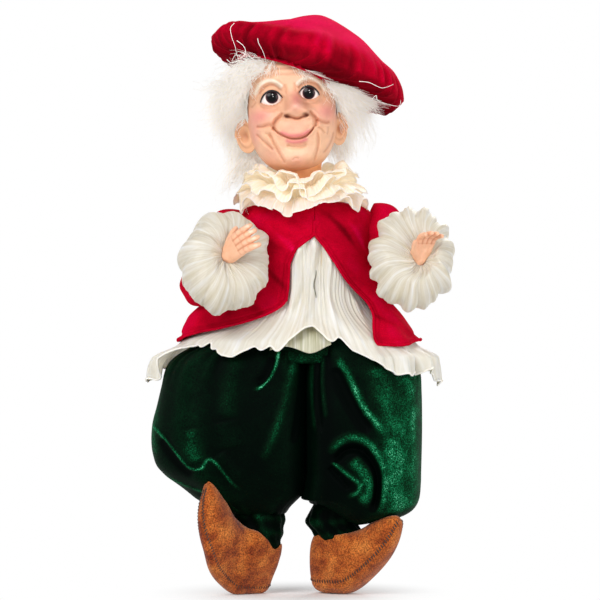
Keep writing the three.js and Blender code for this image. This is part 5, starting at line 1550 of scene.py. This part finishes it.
# Folds seen from the front: line, width, height, how much painted light lies along it, below zero for painted
# shade
LEG_FOLDS = {
    "right": [
        ([(-121, 137), (-107, 122), (-95, 108), (-88, 102), (-80, 102), (-75, 109), (-70, 108), (-64, 101),
          (-56, 91), (-48, 84)], 1.0, 1.5, 0.42),
        ([(-113, 126), (-101, 111), (-92, 101), (-84, 96)], 4.5, -2.2, -0.1),
        ([(-66, 114), (-58, 103), (-50, 94)], 4.5, 2.0, 0.02),
        ([(-116, 97), (-99, 90), (-83, 84), (-67, 81)], 1.3, 1.2, 0.22),
        ([(-19, 196), (-21, 184), (-26, 173), (-33, 166), (-39, 164)], 1.1, 1.8, 0.6),
        ([(-23, 190), (-29, 174), (-37, 168)], 3.2, -2.2, -0.1),
        ([(-7, 188), (-13, 160), (-20, 136), (-28, 117), (-34, 108)], 3.0, 1.6, 0.17),
        ([(-1, 190), (-3, 150), (-8, 120)], 2.4, -1.8, -0.1),
        ([(-89, 134), (-87, 119), (-84, 106)], 6, 1.2, 0.15),
        ([(-60, 140), (-56, 118)], 8, 1.0, 0.03),
        ([(-118, 172), (-119, 140), (-118, 108)], 3.5, 0.5, 0.14),
        ([(-52, 190), (-58, 168), (-60, 140)], 6, 1.0, 0.08),
    ],
    "left": [
        ([(27, 190), (38, 170), (47, 151), (58, 137), (66, 127)], 2.6, 2.4, 0.42),
        ([(24, 182), (34, 160), (43, 144), (53, 130)], 4.0, -2.6, -0.25),
        ([(21, 112), (26, 121), (38, 127), (50, 123), (58, 113), (63, 97), (62, 78), (57, 63)],
         2.8, 3.2, 0.36),
        ([(23, 106), (33, 116), (44, 117), (53, 109), (58.5, 97), (58, 79), (54, 66)], 2.6, -5.0, -0.8),
        ([(22, 108), (34, 98), (44, 90), (42, 83), (34, 80)], 1.5, 2.2, 0.4),
        ([(38, 110), (49, 96), (51, 83), (44, 74)], 4.2, 3.4, 0.34),
        ([(20, 104), (31, 92), (37, 86)], 2.6, -3.2, -0.6),
        ([(84, 188), (84, 140), (82, 104), (83, 62)], 10, 1.2, 0.32),
        ([(70, 130), (70, 96), (73, 62)], 6.5, 1.0, 0.3),
        ([(58, 184), (66, 150), (76, 122)], 7, 0.8, 0.18),
        ([(8, 192), (7, 160), (10, 130)], 1.6, 1.6, 0.1),
        ([(15, 192), (15, 168), (18, 140)], 1.6, 1.6, 0.12),
        ([(11.5, 190), (11, 160), (14, 130)], 2.0, -1.8, -0.2),
    ],
}


def panne_velvet():
    """Crushed velvet, nearly black, turned green on ridges and edges by painted light from an attribute and a
    painted sheen.
    """
    material, nodes, links, shader = new_material("green_panne_velvet", PANNE_COLOUR, 0.6)
    nap_light = add_node(nodes, "Attribute", attribute_name="nap_light")
    grain = add_grain(nodes, 60, 1000)
    speck = add_node(nodes, "MapRange", From_Min=0.34, From_Max=0.7, To_Min=0.1, To_Max=1.9)
    links.new(grain.outputs["Grain"], speck.inputs["Value"])
    # Painted sheen: the colour is lighter where the surface turns away from the lens.
    facing = add_node(nodes, "LayerWeight", Blend=0.42)
    edge = add_node(nodes, "Math", operation="MULTIPLY_ADD")
    edge.inputs[1].default_value = 0.08
    links.new(facing.outputs["Facing"], edge.inputs[0])
    links.new(nap_light.outputs["Fac"], edge.inputs[2])
    patch = add_node(nodes, "MapRange", From_Min=0.35, From_Max=0.65, To_Min=0.55, To_Max=1.35)
    links.new(grain.outputs["Cloud"], patch.inputs["Value"])
    patchy_painted_light = add_node(nodes, "Math", operation="MULTIPLY")
    links.new(edge.outputs[0], patchy_painted_light.inputs[0])
    links.new(patch.outputs["Result"], patchy_painted_light.inputs[1])
    painted_light = add_node(nodes, "Math", operation="MULTIPLY")
    links.new(patchy_painted_light.outputs[0], painted_light.inputs[0])
    links.new(speck.outputs["Result"], painted_light.inputs[1])
    links.new(ramp(nodes, links, painted_light.outputs[0], PANNE_PAINTED_LIGHT_TONES), shader.inputs["Base Color"])
    fill(shader, Sheen_Weight=0.02, Sheen_Tint=PANNE_NAP, Specular_IOR_Level=0.02)
    add_bump(nodes, links, shader, grain.outputs["Grain"], 0.3, 0.0004)
    return material


def leg_section(turn, inward):
    """Shares of half width and half depth round a leg, flat towards the other leg."""
    c, s = np.cos(turn), np.sin(turn)
    squareness = np.where(c * inward > 0, INNER_SQUARENESS, OUTER_SQUARENESS)
    return signed_power(c, squareness), signed_power(s, OUTER_SQUARENESS)


def even_turns(count, inward):
    """Angles that lie evenly along a leg's section."""
    fine = np.linspace(0, 2 * math.pi, SECTION_STEPS)
    across, ahead = leg_section(fine, inward)
    gone = np.concatenate([[0], np.cumsum(np.hypot(np.diff(across), np.diff(ahead)))])
    return np.interp(np.arange(count) / count * gone[-1], gone, fine)


def part_of(name, points, nap_light, normals):
    """One closed length of a bloomer leg, shaded as part of the whole leg."""
    made = cloth(name, points, panne, looped=True)
    store_painted_light(made.data, nap_light)
    whole = bmesh.new()
    whole.from_mesh(made.data)
    bmesh.ops.holes_fill(whole, edges=[e for e in whole.edges if e.is_boundary], sides=0)
    whole.to_mesh(made.data)
    whole.free()
    made.data.shade_smooth()
    made.data.normals_split_custom_set_from_vertices(normals.reshape(-1, 3).tolist())
    return made


def grid_normals(points):
    """Outward directions of a looped grid of points."""
    across = np.roll(points, -1, 1) - np.roll(points, 1, 1)
    along = np.gradient(points, axis=0)
    normals = np.cross(across, along)
    return normals / (np.linalg.norm(normals, axis=2, keepdims=True) + 1e-12)


panne = panne_velvet()
for side, stations in LEG_LINES.items():
    path = curved(stations, 24)
    gone = run_along(path)
    at = np.linspace(0, gone[-1], LEG_ROWS)
    z, outer, inner, depth = [np.interp(at, gone, path[:, k])[:, None] for k in range(4)]
    inward = 1.0 if side == "right" else -1.0
    turn = even_turns(LEG_COLUMNS, inward)[None, :]
    c, s = np.cos(turn), np.sin(turn)
    middle, half = (outer + inner) / 2, np.abs(outer - inner) / 2
    across, ahead = leg_section(turn, inward)
    x = middle + half * across
    y = depth * ahead
    z = z + MOUTH_TILT[side] * smooth((46 - x) / 36) * smooth((78 - z) / 16)
    row = np.arange(LEG_ROWS)[:, None] / LEG_ROWS
    puckered = 1 - smooth((row - 0.08) / 0.18)
    drawn_in = smooth((z - 160) / 40)
    seed = LEG_SEEDS[side]
    pleat = ripple(turn, (13, 19, 26), seed)
    body = ripple(turn + 0.35 * row, (4, 6, 9), seed + 1)
    waist = ripple(turn, (15, 22, 31), seed + 2)
    back = smooth(y / 14)
    z = z + 1.3 * puckered * pleat * smooth(np.abs(x - inner) / 12)
    push = 1.6 * puckered * pleat + 1.4 * drawn_in * waist + (1.2 + 1.6 * back) * body * (1 - puckered)
    # Painted light on the gathers and pleats, lighter on the folds behind
    nap_light = 0.05 + 0.03 * body + 0.05 * puckered * pleat + 0.05 * drawn_in * waist + 0.1 * back * body
    front = smooth((-y - 2) / 10)
    for line, width, height, light in LEG_FOLDS[side]:
        near, place = off_line(x, z, curved(line, 6))
        ridge = front * tapered(place) * bell(near / width)
        push = push + ridge * height
        nap_light = nap_light + FOLD_LIGHT * ridge * light
    # Painted sheen along the outer edge, and painted shade between the legs
    nap_light = nap_light + 0.06 * bell((x - outer) / 5)
    nap_light = nap_light - CROTCH_SHADE * bell((x - inner) / 9) * smooth((186 - z) / 40)
    push = push * smooth(np.abs(x - inner) / 12)
    x = x + push * c * 0.55 * (np.abs(c) ** 0.5)
    y = y + push * s
    leg_points = np.stack([x, y, z], -1)
    normals = grid_normals(leg_points)
    nap_light = np.clip(nap_light, -CROTCH_SHADE, 1.2)
    split = int(np.argmin(np.abs(z.mean(1) - LEG_SPLIT)))
    lower = part_of(side + "_bloomer_lower", leg_points[: split + 1], nap_light[: split + 1], normals[: split + 1])
    upper = part_of(side + "_bloomer_upper", leg_points[split:], nap_light[split:], normals[split:])
    hip = np.array([KNEES[side][0], 0.0, 0.0]) + ORIGIN
    ends = [tuple((hip + np.array([0.0, 0.0, height])) * MM) for height in HIP_BLEND + KNEE_BLEND]
    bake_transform(upper)
    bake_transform(lower)
    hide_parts(side + "_bloomer_leg")
seat = soft_copy("bloomer_seat_velvet", "bloomer_seat", panne)
places = np.array([vertex.co for vertex in seat.data.vertices])
round_seat = np.arctan2(places[:, 1], places[:, 0])
# Painted light on the gathers of the seat.
store_painted_light(seat.data, np.clip(0.1 + 0.16 * ripple(round_seat, (19, 27, 38), SEAT_SEED), 0, 1))
wear(seat, "torso", "green_velvet", "bloomer_seat")
elastic = soft_copy("waist_elastic_velvet", "waist_elastic", panne)
wear(elastic, "torso", "green_velvet", "waist_elastic")

# Arms: short crimson velvet sleeves sewn into the armholes, open at the elbow.
# Below them an organza puff is gathered onto the forearm and drawn in at the wrist.
FOREARM_LENGTH = 60.0
ARMS = {
    "right": {
        "shoulder": np.array([-58.0, 0.0, 288.0]),
        "elbow": np.array([-79.0, -10.0, 249.0]),
        "heading": np.array([0.36, -0.87, 0.3]),
        "puff": (35.5, 41.5),
        "fingers": np.array([0.52, -0.68, 0.5]),
        "hand_shift": np.array([-2.5, 0.0, 1.0]),
        "hand_size": 0.86,
        "thumb": np.array([-0.45, 0.3, 0.75]),
        "pleats": (5, 8, 13),
        "pleat_depth": 2.0,
        "swirl": 1.1,
        "seed": 81,
        "curl": -1.0,
        "cap": 6.0,
    },
    "left": {
        "shoulder": np.array([63.0, 0.0, 289.0]),
        "elbow": np.array([81.0, -8.0, 250.0]),
        "heading": np.array([0.08, -0.93, 0.34]),
        "puff": (33.0, 41.5),
        "fingers": np.array([0.25, -0.45, 0.85]),
        "hand_shift": np.array([5.5, 0.0, -4.5]),
        "hand_size": 0.78,
        "thumb": np.array([-0.75, -0.6, 0.25]),
        "pleats": (7, 11, 17),
        "pleat_depth": 2.4,
        "swirl": -0.3,
        "seed": 91,
        "curl": 1.0,
        "cap": 10.0,
    },
}
# Along the forearm, share of the puff's radius
PUFF_PROFILE = [
    (6, 0.3), (13, 0.3), (20, 0.33), (23, 0.43), (27.5, 0.6), (33, 0.8), (40, 0.95), (48, 1.0),
    (56, 0.97), (62, 0.86), (65.8, 0.7), (67, 0.56), (66.8, 0.44), (65.8, 0.33), (64.4, 0.24), (62.6, 0.15),
]
PUFF_COLUMNS = 350
NECK_SHARE = 2 / 15
NECK_RADIUS = 12.6
SLEEVE_RADIUS = 17.5
SLEEVE_SIDES = 72
SLEEVE_SEED = 71
MOUTH_SHARE = 0.86
CUP_DEPTH = 16.0


def unit(vector):
    """A vector of length one."""
    return vector / np.linalg.norm(vector)


def turned_to(heading):
    """The shortest turn that takes the vertical to a heading."""
    h = unit(heading)
    v = np.cross((0, 0, 1), h)
    k = np.array([[0, -v[2], v[1]], [v[2], 0, -v[0]], [-v[1], v[0], 0]])
    return np.eye(3) + k + k @ k / (1 + h[2])


def rings_along(line, radii, sides):
    """Rings of points carried along a line without twisting."""
    line = np.asarray(line, float)
    ahead = np.gradient(line, axis=0)
    ahead /= np.linalg.norm(ahead, axis=1)[:, None]
    side = unit(np.cross(ahead[0], (0.3, 0.2, 0.93)))
    turn = np.linspace(0, 2 * math.pi, sides, endpoint=False)[:, None]
    rings = []
    for place, along, radius in zip(line, ahead, radii):
        side = unit(side - along * side.dot(along))
        up = np.cross(along, side)
        rings.append(place + radius * (np.cos(turn) * side + np.sin(turn) * up))
    return np.stack(rings)


# The puffs are coloured a darker cream than the shirt: painted shade for their shaded sides.
puff_organza_painted_shade = organza("puff_organza_painted_shade", srgb("E4D7BF"), srgb("CBB894"), 340, 12)
for side, arm in ARMS.items():
    shoulder, elbow, heading = arm["shoulder"], arm["elbow"], unit(arm["heading"])
    slope = unit(elbow - shoulder)
    cap = [shoulder - 15 * slope, shoulder - 9 * slope, shoulder]
    line = curved([*cap, (shoulder + elbow) / 2, elbow, elbow + 10 * heading], 12)
    gone = run_along(line)
    share = gone / gone[-1]
    rounded = 1.02 - 0.98 * (1 - np.clip(share / 0.24, 0, 1)) ** 2.2
    radii = SLEEVE_RADIUS * rounded + 1.4 * smooth((share - 0.6) / 0.4)
    turn = full_turn(SLEEVE_SIDES)
    rings = rings_along(line, radii, SLEEVE_SIDES)
    along = share[:, None]
    crease = ripple(turn + 2.2 * along, (3, 5, 8), SLEEVE_SEED) * 0.8 * smooth(along / 0.3)
    crease = crease + 0.8 * np.sin(38 * along + 2 * np.sin(turn)) * smooth((along - 0.45) / 0.2)
    rings = rings + (rings - line[:, None]) / np.maximum(radii, 1)[:, None, None] * crease[..., None]
    rings[..., 2] += arm["cap"] * smooth((rings[..., 2] - shoulder[2] - 2) / 14)
    lip = line[-1] + (rings[-1] - line[-1]) * MOUTH_SHARE
    bottom = elbow - CUP_DEPTH * slope
    cup = elbow + (lip - line[-1]) * 0.95
    inner = np.stack([lip, cup, cup - 0.6 * CUP_DEPTH * slope, np.repeat(bottom[None], SLEEVE_SIDES, 0)])
    points = np.concatenate([np.repeat(line[:1, None], SLEEVE_SIDES, 1), rings, inner])
    sleeve = cloth(side + "_sleeve_velvet", points, crimson, looped=True, closed_ends=True)
    wear(sleeve, side + "_upper_arm", "crimson_velvet", side + "_jacket_sleeve")

    profile = curved(PUFF_PROFILE, 6)
    row = (np.arange(len(profile)) / (len(profile) - 1))[:, None]
    row = np.maximum(row - NECK_SHARE, 0) / (1 - NECK_SHARE)
    turn = full_turn(PUFF_COLUMNS)
    seed = arm["seed"]
    warped = turn + arm["swirl"] * row + 0.05 * np.sin(7 * row + 3 * turn)
    lobes = ripple(warped, arm["pleats"], seed)
    fine = ripple(warped + 0.1 * row, (43, 57, 76), seed + 1)
    swell = np.sin(math.pi * np.clip(row, 0, 1)) ** 0.6
    push = swell * (arm["pleat_depth"] * lobes + 0.3 * fine)
    inner_pleat = smooth((row - 0.7) / 0.2)
    push = push + inner_pleat * 0.6 * fine
    full = smooth((profile[:, :1] - 17) / 7)
    radius_x, radius_y = [
        NECK_RADIUS + (half * profile[:, 1:] - NECK_RADIUS) * full + push for half in arm["puff"]
    ]
    lift = profile[:, :1] + swell * 1.0 * ripple(warped, (5, 8), seed + 2) + inner_pleat * 0.8 * fine
    local = np.stack([radius_x * np.cos(turn), radius_y * np.sin(turn), lift], -1)
    drawn_over = smooth((row - 0.6) / 0.3)[..., None]
    puff_points = local @ turned_to(heading).T + elbow + arm["hand_shift"] * drawn_over
    puff = cloth(side + "_puff_organza", puff_points, puff_organza_painted_shade, looped=True, thick=ORGANZA_THICKNESS)
    wear(puff, side + "_forearm", "cream_organza", side + "_puff_sleeve")
    wrist_band = soft_copy(side + "_wrist_elastic_band", side + "_wrist_elastic", organza_hem)
    wear(wrist_band, side + "_forearm", "cream_organza", side + "_wrist_elastic")

# Hands: resin castings set on the forearm wires, painted like the face.
# The fingers are long and slightly curled, with pale nails.
HAND_VOXEL = 0.55
NAIL_COLOUR = srgb("FBE3CF")
HAND_COLOUR = srgb("F3BD9A")
HAND_PAINTED_SHADE = srgb("C9774F")
# Fingers: place across at the knuckle, length, fan
FINGERS = [(7.9, 17.0, 2.2), (2.7, 19.0, 0.8), (-2.6, 18.2, -0.6), (-7.5, 15.0, -2.0)]
FINGER_RADII = (3.6, 3.05, 3.15, 2.7, 2.2)
FINGER_PLACES = np.array([0.0, 0.3, 0.55, 0.8, 1.0])
FINGER_BEND = np.array([0.0, 0.8, 3.2, 6.8, 11.0])
FINGER_JOINTS = (0.02, 0.38, 0.68)
KNUCKLE = 20
NAIL_HALF = np.array([1.5, 3.0, 2.2])
WRIST_GAP = 0.4
# The pin that holds the hand: places along the forearm from its end, and radii
PIN_PLACES = (-2, 4, 9.5)
PIN_RADII = (3.4, 3.4, 2.8)
BONE_SIDES = 14
BONE_END_ANGLES = (0.5, 1.0, 1.45)


def finger_height(length, along):
    """Height of a place along a finger, from its knuckle at 0 to its tip at 1."""
    return KNUCKLE + length * along * (1 - 0.12 * along)


def hand_lines(curl):
    """Centre lines and radii of a hand's bones, its fingers up from the wrist and its thumb to one side."""
    bones = []
    for x, length, fan in FINGERS:
        heights = finger_height(length, FINGER_PLACES)
        bones.append((np.stack([x + fan * FINGER_PLACES, curl * FINGER_BEND, heights], -1), FINGER_RADII))
        root = np.array([[x * 0.55, 0, 3], [x * 0.8, -0.5 * curl, 12], [x, 0, KNUCKLE]])
        bones.append((root, (4.6, 4.2, 3.6)))
    thumb = [[5, 0.5 * curl, 5], [9.5, 1.5 * curl, 11], [13.5, 3 * curl, 17], [15.5, 4.5 * curl, 23]]
    bones.append((np.array(thumb), (4.4, 3.7, 3.0, 2.2)))
    palm = np.array([[0, 0, -5], [0, 0, 2], [0, 0.6 * curl, 10]])
    bones.append((palm, (6.2, 6.2, 5.0)))
    return bones


def bone_rings(line, radii):
    """Rings of a closed round form along a bone, with round ends."""
    path = curved(line, 6)
    size = np.interp(np.linspace(0, 1, len(path)), np.linspace(0, 1, len(radii)), radii)
    start, end = unit(path[0] - path[1]), unit(path[-1] - path[-2])
    head = [(path[0] + start * size[0] * math.sin(a), size[0] * math.cos(a)) for a in BONE_END_ANGLES[::-1]]
    tail = [(path[-1] + end * size[-1] * math.sin(a), size[-1] * math.cos(a)) for a in BONE_END_ANGLES]
    path = np.array([h[0] for h in head] + list(path) + [t[0] for t in tail])
    size = np.array([h[1] for h in head] + list(size) + [t[1] for t in tail])
    rings = rings_along(path, size, BONE_SIDES)
    first, last = [np.repeat(path[k][None, None], BONE_SIDES, 1) for k in (0, -1)]
    return np.concatenate([first, rings, last])


hand_resin, nodes, links, shader = new_material("hand_resin", HAND_COLOUR, 0.5)
painted = add_node(nodes, "Attribute", attribute_name="paint")
grain = add_grain(nodes, 120, 1500)
mottles = [(0.35, (0.9, 0.86, 0.84, 1)), (0.65, WHITE)]
stain(nodes, links, shader, painted.outputs["Color"], ramp(nodes, links, grain.outputs["Cloud"], mottles))
fill(shader, Subsurface_Weight=0.15, Subsurface_Radius=(1.0, 0.4, 0.25), Subsurface_Scale=0.002)
add_bump(nodes, links, shader, grain.outputs["Grain"], 0.12, 0.0003)
for side, arm in ARMS.items():
    fingers, heading = unit(arm["fingers"]), unit(arm["heading"])
    size, curl, shift = arm["hand_size"], arm["curl"], arm["hand_shift"]
    thumb = unit(arm["thumb"] - fingers * arm["thumb"].dot(fingers))
    basis = np.stack([thumb, np.cross(fingers, thumb), fingers], 1)
    wrist = arm["elbow"] + heading * (FOREARM_LENGTH + WRIST_GAP) + shift
    bones = hand_lines(curl)
    pin = -shift @ basis / size
    along_pin = heading @ basis / size
    bones.append((np.stack([pin + k * along_pin for k in PIN_PLACES]), PIN_RADII))
    points, faces = [], []
    for line, radii in bones:
        rings = bone_rings(line, radii)
        faces.append(tube_faces(len(rings), BONE_SIDES) + sum(len(p) for p in points))
        points.append(rings.reshape(-1, 3))
    hand_shape = np.concatenate(points) * size @ basis.T + wrist
    rough = mesh_of(side + "_hand_bones", hand_shape, np.concatenate(faces))
    outward(rough)
    source = new_object(side + "_hand_bones", rough, hand_resin)
    joined = source.modifiers.new("joined", "REMESH")
    joined.mode = "VOXEL"
    joined.voxel_size = HAND_VOXEL * MM
    soft = source.modifiers.new("soft", "SMOOTH")
    soft.factor = 0.5
    soft.iterations = 5
    hand = made_plain(source, side + "_hand_resin")
    hand.data.materials.clear()
    hand.data.materials.append(hand_resin)
    count = len(hand.data.vertices)
    flat = np.empty(count * 3, np.float32)
    hand.data.vertices.foreach_get("co", flat)
    local = (flat.reshape(-1, 3) / MM - ORIGIN - wrist) @ basis / size
    colours = np.tile(np.array(HAND_COLOUR), (count, 1))
    # Painted shade between the fingers.
    between = np.full(count, 9.0)
    for (x, _, fan), (next_x, _, next_fan) in zip(FINGERS, FINGERS[1:]):
        gap = np.abs(local[:, 0] - (x + next_x) / 2 - (fan + next_fan) / 2 * (local[:, 2] - KNUCKLE) / 18)
        between = np.where(local[:, 2] > KNUCKLE - 1, np.minimum(between, gap), between)
    colours = blended(colours, HAND_PAINTED_SHADE, 0.75 * bell(between / 0.9))
    # Darker creases at the finger joints, partly painted lines and partly painted shade, and pale painted
    # nails.
    for x, length, fan in FINGERS:
        for joint in FINGER_JOINTS:
            near = np.abs(local[:, 0] - x - fan * joint) < 2.4
            fold = bell((local[:, 2] - finger_height(length, joint)) / 0.7) * near
            colours = blended(colours, HAND_PAINTED_SHADE, 0.4 * fold)
        tip = np.stack(
            [local[:, 0] - x - fan, local[:, 1] - curl * 7.5, local[:, 2] - KNUCKLE - length * 0.84], -1
        )
        nail = np.exp(-(np.linalg.norm(tip / NAIL_HALF, axis=1) ** 4)) * (curl * tip[:, 1] < 0.5)
        colours = blended(colours, NAIL_COLOUR, 0.8 * nail)
    paint(hand.data, colours)
    wear(hand, side + "_forearm", "resin", side + "_hand")

# Ankle cuffs: the same panne velvet as the bloomers, a tight sock over each stuffed shin.
# Each is tucked into the mouth of the bloomer leg above and into the shoe below.
CUFF_ROWS = 70
CUFF_SIDES = 120
CUFF_SEEDS = {"right": 101, "left": 111}
# Height over the ground and radius, below the knee
CUFF_PROFILE = [(33, 16.0), (38, 18.2), (44, 18.6), (50, 19.6), (58, 20.4), (66, 20.8)]
# Height over the knee's middle and radius
CUFF_TOP = [(-4, 20.6), (4, 20.2), (11, 17.2), (17, 11), (20, 4), (20.4, 0.2)]
CUFF_LEAN = {"right": 0.0, "left": -7.0}
for side, knee in KNEES.items():
    top = [(knee[2] + rise, radius) for rise, radius in CUFF_TOP]
    path = curved([p for p in CUFF_PROFILE if p[0] < knee[2] - 8] + top, 10)
    share = np.linspace(0, 1, CUFF_ROWS)
    z = np.interp(share, np.linspace(0, 1, len(path)), path[:, 0])[:, None]
    radius = np.interp(share, np.linspace(0, 1, len(path)), path[:, 1])[:, None]
    turn = full_turn(CUFF_SIDES)
    seed = CUFF_SEEDS[side]
    body = smooth((share[:, None] - 0.05) / 0.2) * smooth((knee[2] - 2 - z) / 14)
    folds = ripple(turn + 0.02 * z, (5, 8, 13), seed) * body
    slump = np.sin(0.55 * z + 1.6 * np.sin(turn + seed)) * body
    push = 0.9 * folds + 0.5 * slump
    lean = CUFF_LEAN[side] * bell((z - 58) / 10)
    x = knee[0] + lean + (radius + push) * np.cos(turn)
    y = knee[1] + (radius + push) * np.sin(turn)
    points = np.stack([x, y, z + 0 * turn], -1)
    base = np.repeat(points[:1].mean(1, keepdims=True), CUFF_SIDES, 1)
    points = np.concatenate([base, points])
    cuff = cloth(side + "_cuff_velvet", points, panne, looped=True)
    # Painted light on the folds of the cuff.
    cuff_painted_light = np.clip(0.03 + 0.08 * folds + 0.07 * slump, 0, 1)
    store_painted_light(cuff.data, np.concatenate([np.zeros((1, CUFF_SIDES)), cuff_painted_light]))
    wear(cuff, side + "_shin", "green_velvet", side + "_ankle_cuff")

# Shoes: brown suede uppers with toes that curl up to a point, on thin suede soles.
# Upper and sole are whipped together along the edge with dark waxed thread.
SUEDE_COLOUR = srgb("A65521")
SUEDE_DARK = srgb("752F13")
SUEDE_LIGHT = srgb("C57635")
THREAD_COLOUR = srgb("3A1C10")
SUEDE_CLOUDS = [(0.32, SUEDE_DARK), (0.5, SUEDE_COLOUR), (0.7, SUEDE_LIGHT)]
SUEDE_FLECKS = [(0.36, (0.3, 0.25, 0.22, 1)), (0.5, grey(0.95)), (0.64, (1.6, 1.5, 1.35, 1))]
SHOE_SIDES = 96
SHOE_ROWS = 130
SOLE_SHARE = {"right": 0.52, "left": 0.86}
SHOE_LEAN = {"right": -3.0, "left": 0.0}
TOE_FORWARD = {"right": 17.0, "left": 6.0}
STITCH_BAND = {"right": (0.04, 0.2), "left": (0.13, 0.3)}
SHOE_TURN = {"right": -55.0, "left": 58.0}
ANKLE_OPENING = 19.2
ANKLE_FLOOR = 34.0
# From heel to toe: reach and height of the sole, reach and height of the top, half width
SHOES = {
    "right": [
        (-14, 14, -17, 30, 4), (-12.5, 4, -16.5, 40, 11), (-7, 0, -11, 44, 16), (1, 0, 0, 47, 19),
        (10, 0, 9, 51, 20), (21, 1, 16, 54, 19.5), (33, 10, 22, 59, 18), (43, 22, 28, 65, 16),
        (50, 37, 33, 75, 13), (54.5, 51, 38, 83, 10.5), (55.5, 64, 42, 88.5, 8), (54, 75, 45, 91.5, 5.5),
        (50.5, 84, 47.5, 92.5, 3), (48.8, 89, 48.2, 91, 0.5),
    ],
    "left": [
        (-22, 12, -20, 34, 7), (-20.5, 3, -19.5, 45, 15), (-12, 0, -12, 50, 18.5), (0, 0, 0, 51, 19.8),
        (8, 0.5, 8, 50, 20), (17, 5, 14, 50, 19.5), (27, 13, 20, 52, 18.5), (37, 22.5, 26, 55, 16.5),
        (45, 32, 32, 59, 14), (51, 42, 38, 62, 11), (54.5, 51, 44, 64, 8), (55.5, 58, 50, 64.5, 5),
        (54.5, 62, 53, 63.5, 0.5),
    ],
}
SEAM_SHARE = 0.1
STITCH_STEP = 2.5
STITCH_LENGTH = 2.8
STITCH_RADIUS = 0.52
STITCH_SIDES = 6
STITCH_ROWS = slice(12, -3)


def placed(places, run, line):
    """Points of a line at places along it."""
    return np.stack([np.interp(places, run, line[:, k]) for k in range(3)], -1)


suede, nodes, links, shader = new_material("brown_suede", SUEDE_COLOUR, 0.95)
grain = add_grain(nodes, 70, 900)
cloud = ramp(nodes, links, grain.outputs["Cloud"], SUEDE_CLOUDS)
fleck = ramp(nodes, links, grain.outputs["Grain"], SUEDE_FLECKS)
stain(nodes, links, shader, cloud, fleck, share=0.85)
fill(shader, Sheen_Weight=0.2, Specular_IOR_Level=0.1)
add_bump(nodes, links, shader, grain.outputs["Grain"], 0.6, 0.0008)
thread_tones = [(0.3, srgb("24110A")), (0.7, srgb("52301E"))]
thread = grained("waxed_thread", THREAD_COLOUR, 0.6, (100, 2500), thread_tones)

for side, stations in SHOES.items():
    knee = KNEES[side]
    lines = curved(stations, 14)
    gone = run_along(lines)
    at = np.linspace(0, gone[-1], SHOE_ROWS)
    low_s, low_z, high_s, high_z, half = [np.interp(at, gone, lines[:, k])[:, None] for k in range(5)]
    turn = full_turn(SHOE_SIDES)
    boxy = smooth((26 - np.abs((low_s + high_s) / 2)) / 14) * (np.sin(turn) > 0)
    up = signed_power(np.sin(turn), 0.8 - 0.55 * boxy)
    t = (up + 1) / 2
    wide = signed_power(np.cos(turn), 0.72 - 0.42 * boxy)
    keel = SOLE_SHARE[side] + (1 - SOLE_SHARE[side]) * smooth(t / 0.7)
    x = half * wide * keel
    s = low_s + (high_s - low_s) * t
    z = low_z + (high_z - low_z) * t
    near = np.hypot(x, s)
    sunk = smooth((ANKLE_OPENING - near) / 1.6) * smooth((z - 30) / 8)
    z = np.where(sunk > 0, z + (np.minimum(z, ANKLE_FLOOR) - z) * sunk, z)
    seam = np.abs(t - SEAM_SHARE) * np.hypot(high_s - low_s, high_z - low_z)
    pinch = bell(seam / 1.3) * (np.abs(wide) > 0.2)
    x = x * (1 + 0.05 * pinch)
    shoe_x, shoe_y = spun(x, -s, math.radians(SHOE_TURN[side]))
    points = np.stack([shoe_x, shoe_y, z + 0 * x], -1) + np.array([knee[0], knee[1], 0.0])
    points[..., 0] += SHOE_LEAN[side] * smooth((40 - points[..., 2]) / 30)
    points[..., 1] -= TOE_FORWARD[side] * smooth((s - 22) / 30)
    heel = np.repeat(points[:1].mean(1, keepdims=True), SHOE_SIDES, 1)
    toe = np.repeat(points[-1:].mean(1, keepdims=True), SHOE_SIDES, 1)
    shape = np.concatenate([heel, points, toe])
    form = cloth(side + "_shoe_suede", shape, suede, looped=True, closed_ends=True)
    wear(form, side + "_foot", "suede", side + "_shoe_upper", side + "_shoe_sole")
    normals = grid_normals(points)
    inner_line = points.mean(1, keepdims=True)
    normals = normals * np.sign((normals * (points - inner_line)).sum(2, keepdims=True))
    stitches = []
    for edge in (0, 1):
        columns = np.where((np.cos(turn[0]) > 0) == (edge == 0))[0]
        shares = t[-1][columns]
        foot = columns[np.argmin(np.abs(shares - STITCH_BAND[side][0]))]
        head = columns[np.argmin(np.abs(shares - STITCH_BAND[side][1]))]
        a, b = points[STITCH_ROWS, foot], points[STITCH_ROWS, head]
        run = run_along((a + b) / 2)
        places = np.arange(1.5, run[-1] - 1.0, STITCH_STEP)
        start = placed(places, run, a)
        stop = placed(places + 0.6, run, b)
        away = placed(places, run, normals[STITCH_ROWS, (foot + head) // 2])
        heading = (stop - start) / (np.linalg.norm(stop - start, axis=1)[:, None] + 1e-9)
        for place, along, rise in zip((start + stop) / 2, heading, away * 0.5):
            reach = along * STITCH_LENGTH / 2
            stitches.append([place - reach - rise * 0.3, place + rise, place + reach - rise * 0.3])
    stitches = np.array(stitches)
    thickness = np.full(stitches.shape[:2], STITCH_RADIUS)
    stitch_name = side + "_shoe_stitches"
    whipped = strands(stitch_name, stitches, thickness, np.ones(len(stitches)), STITCH_SIDES, thread)
    wear(whipped, side + "_foot", "suede")
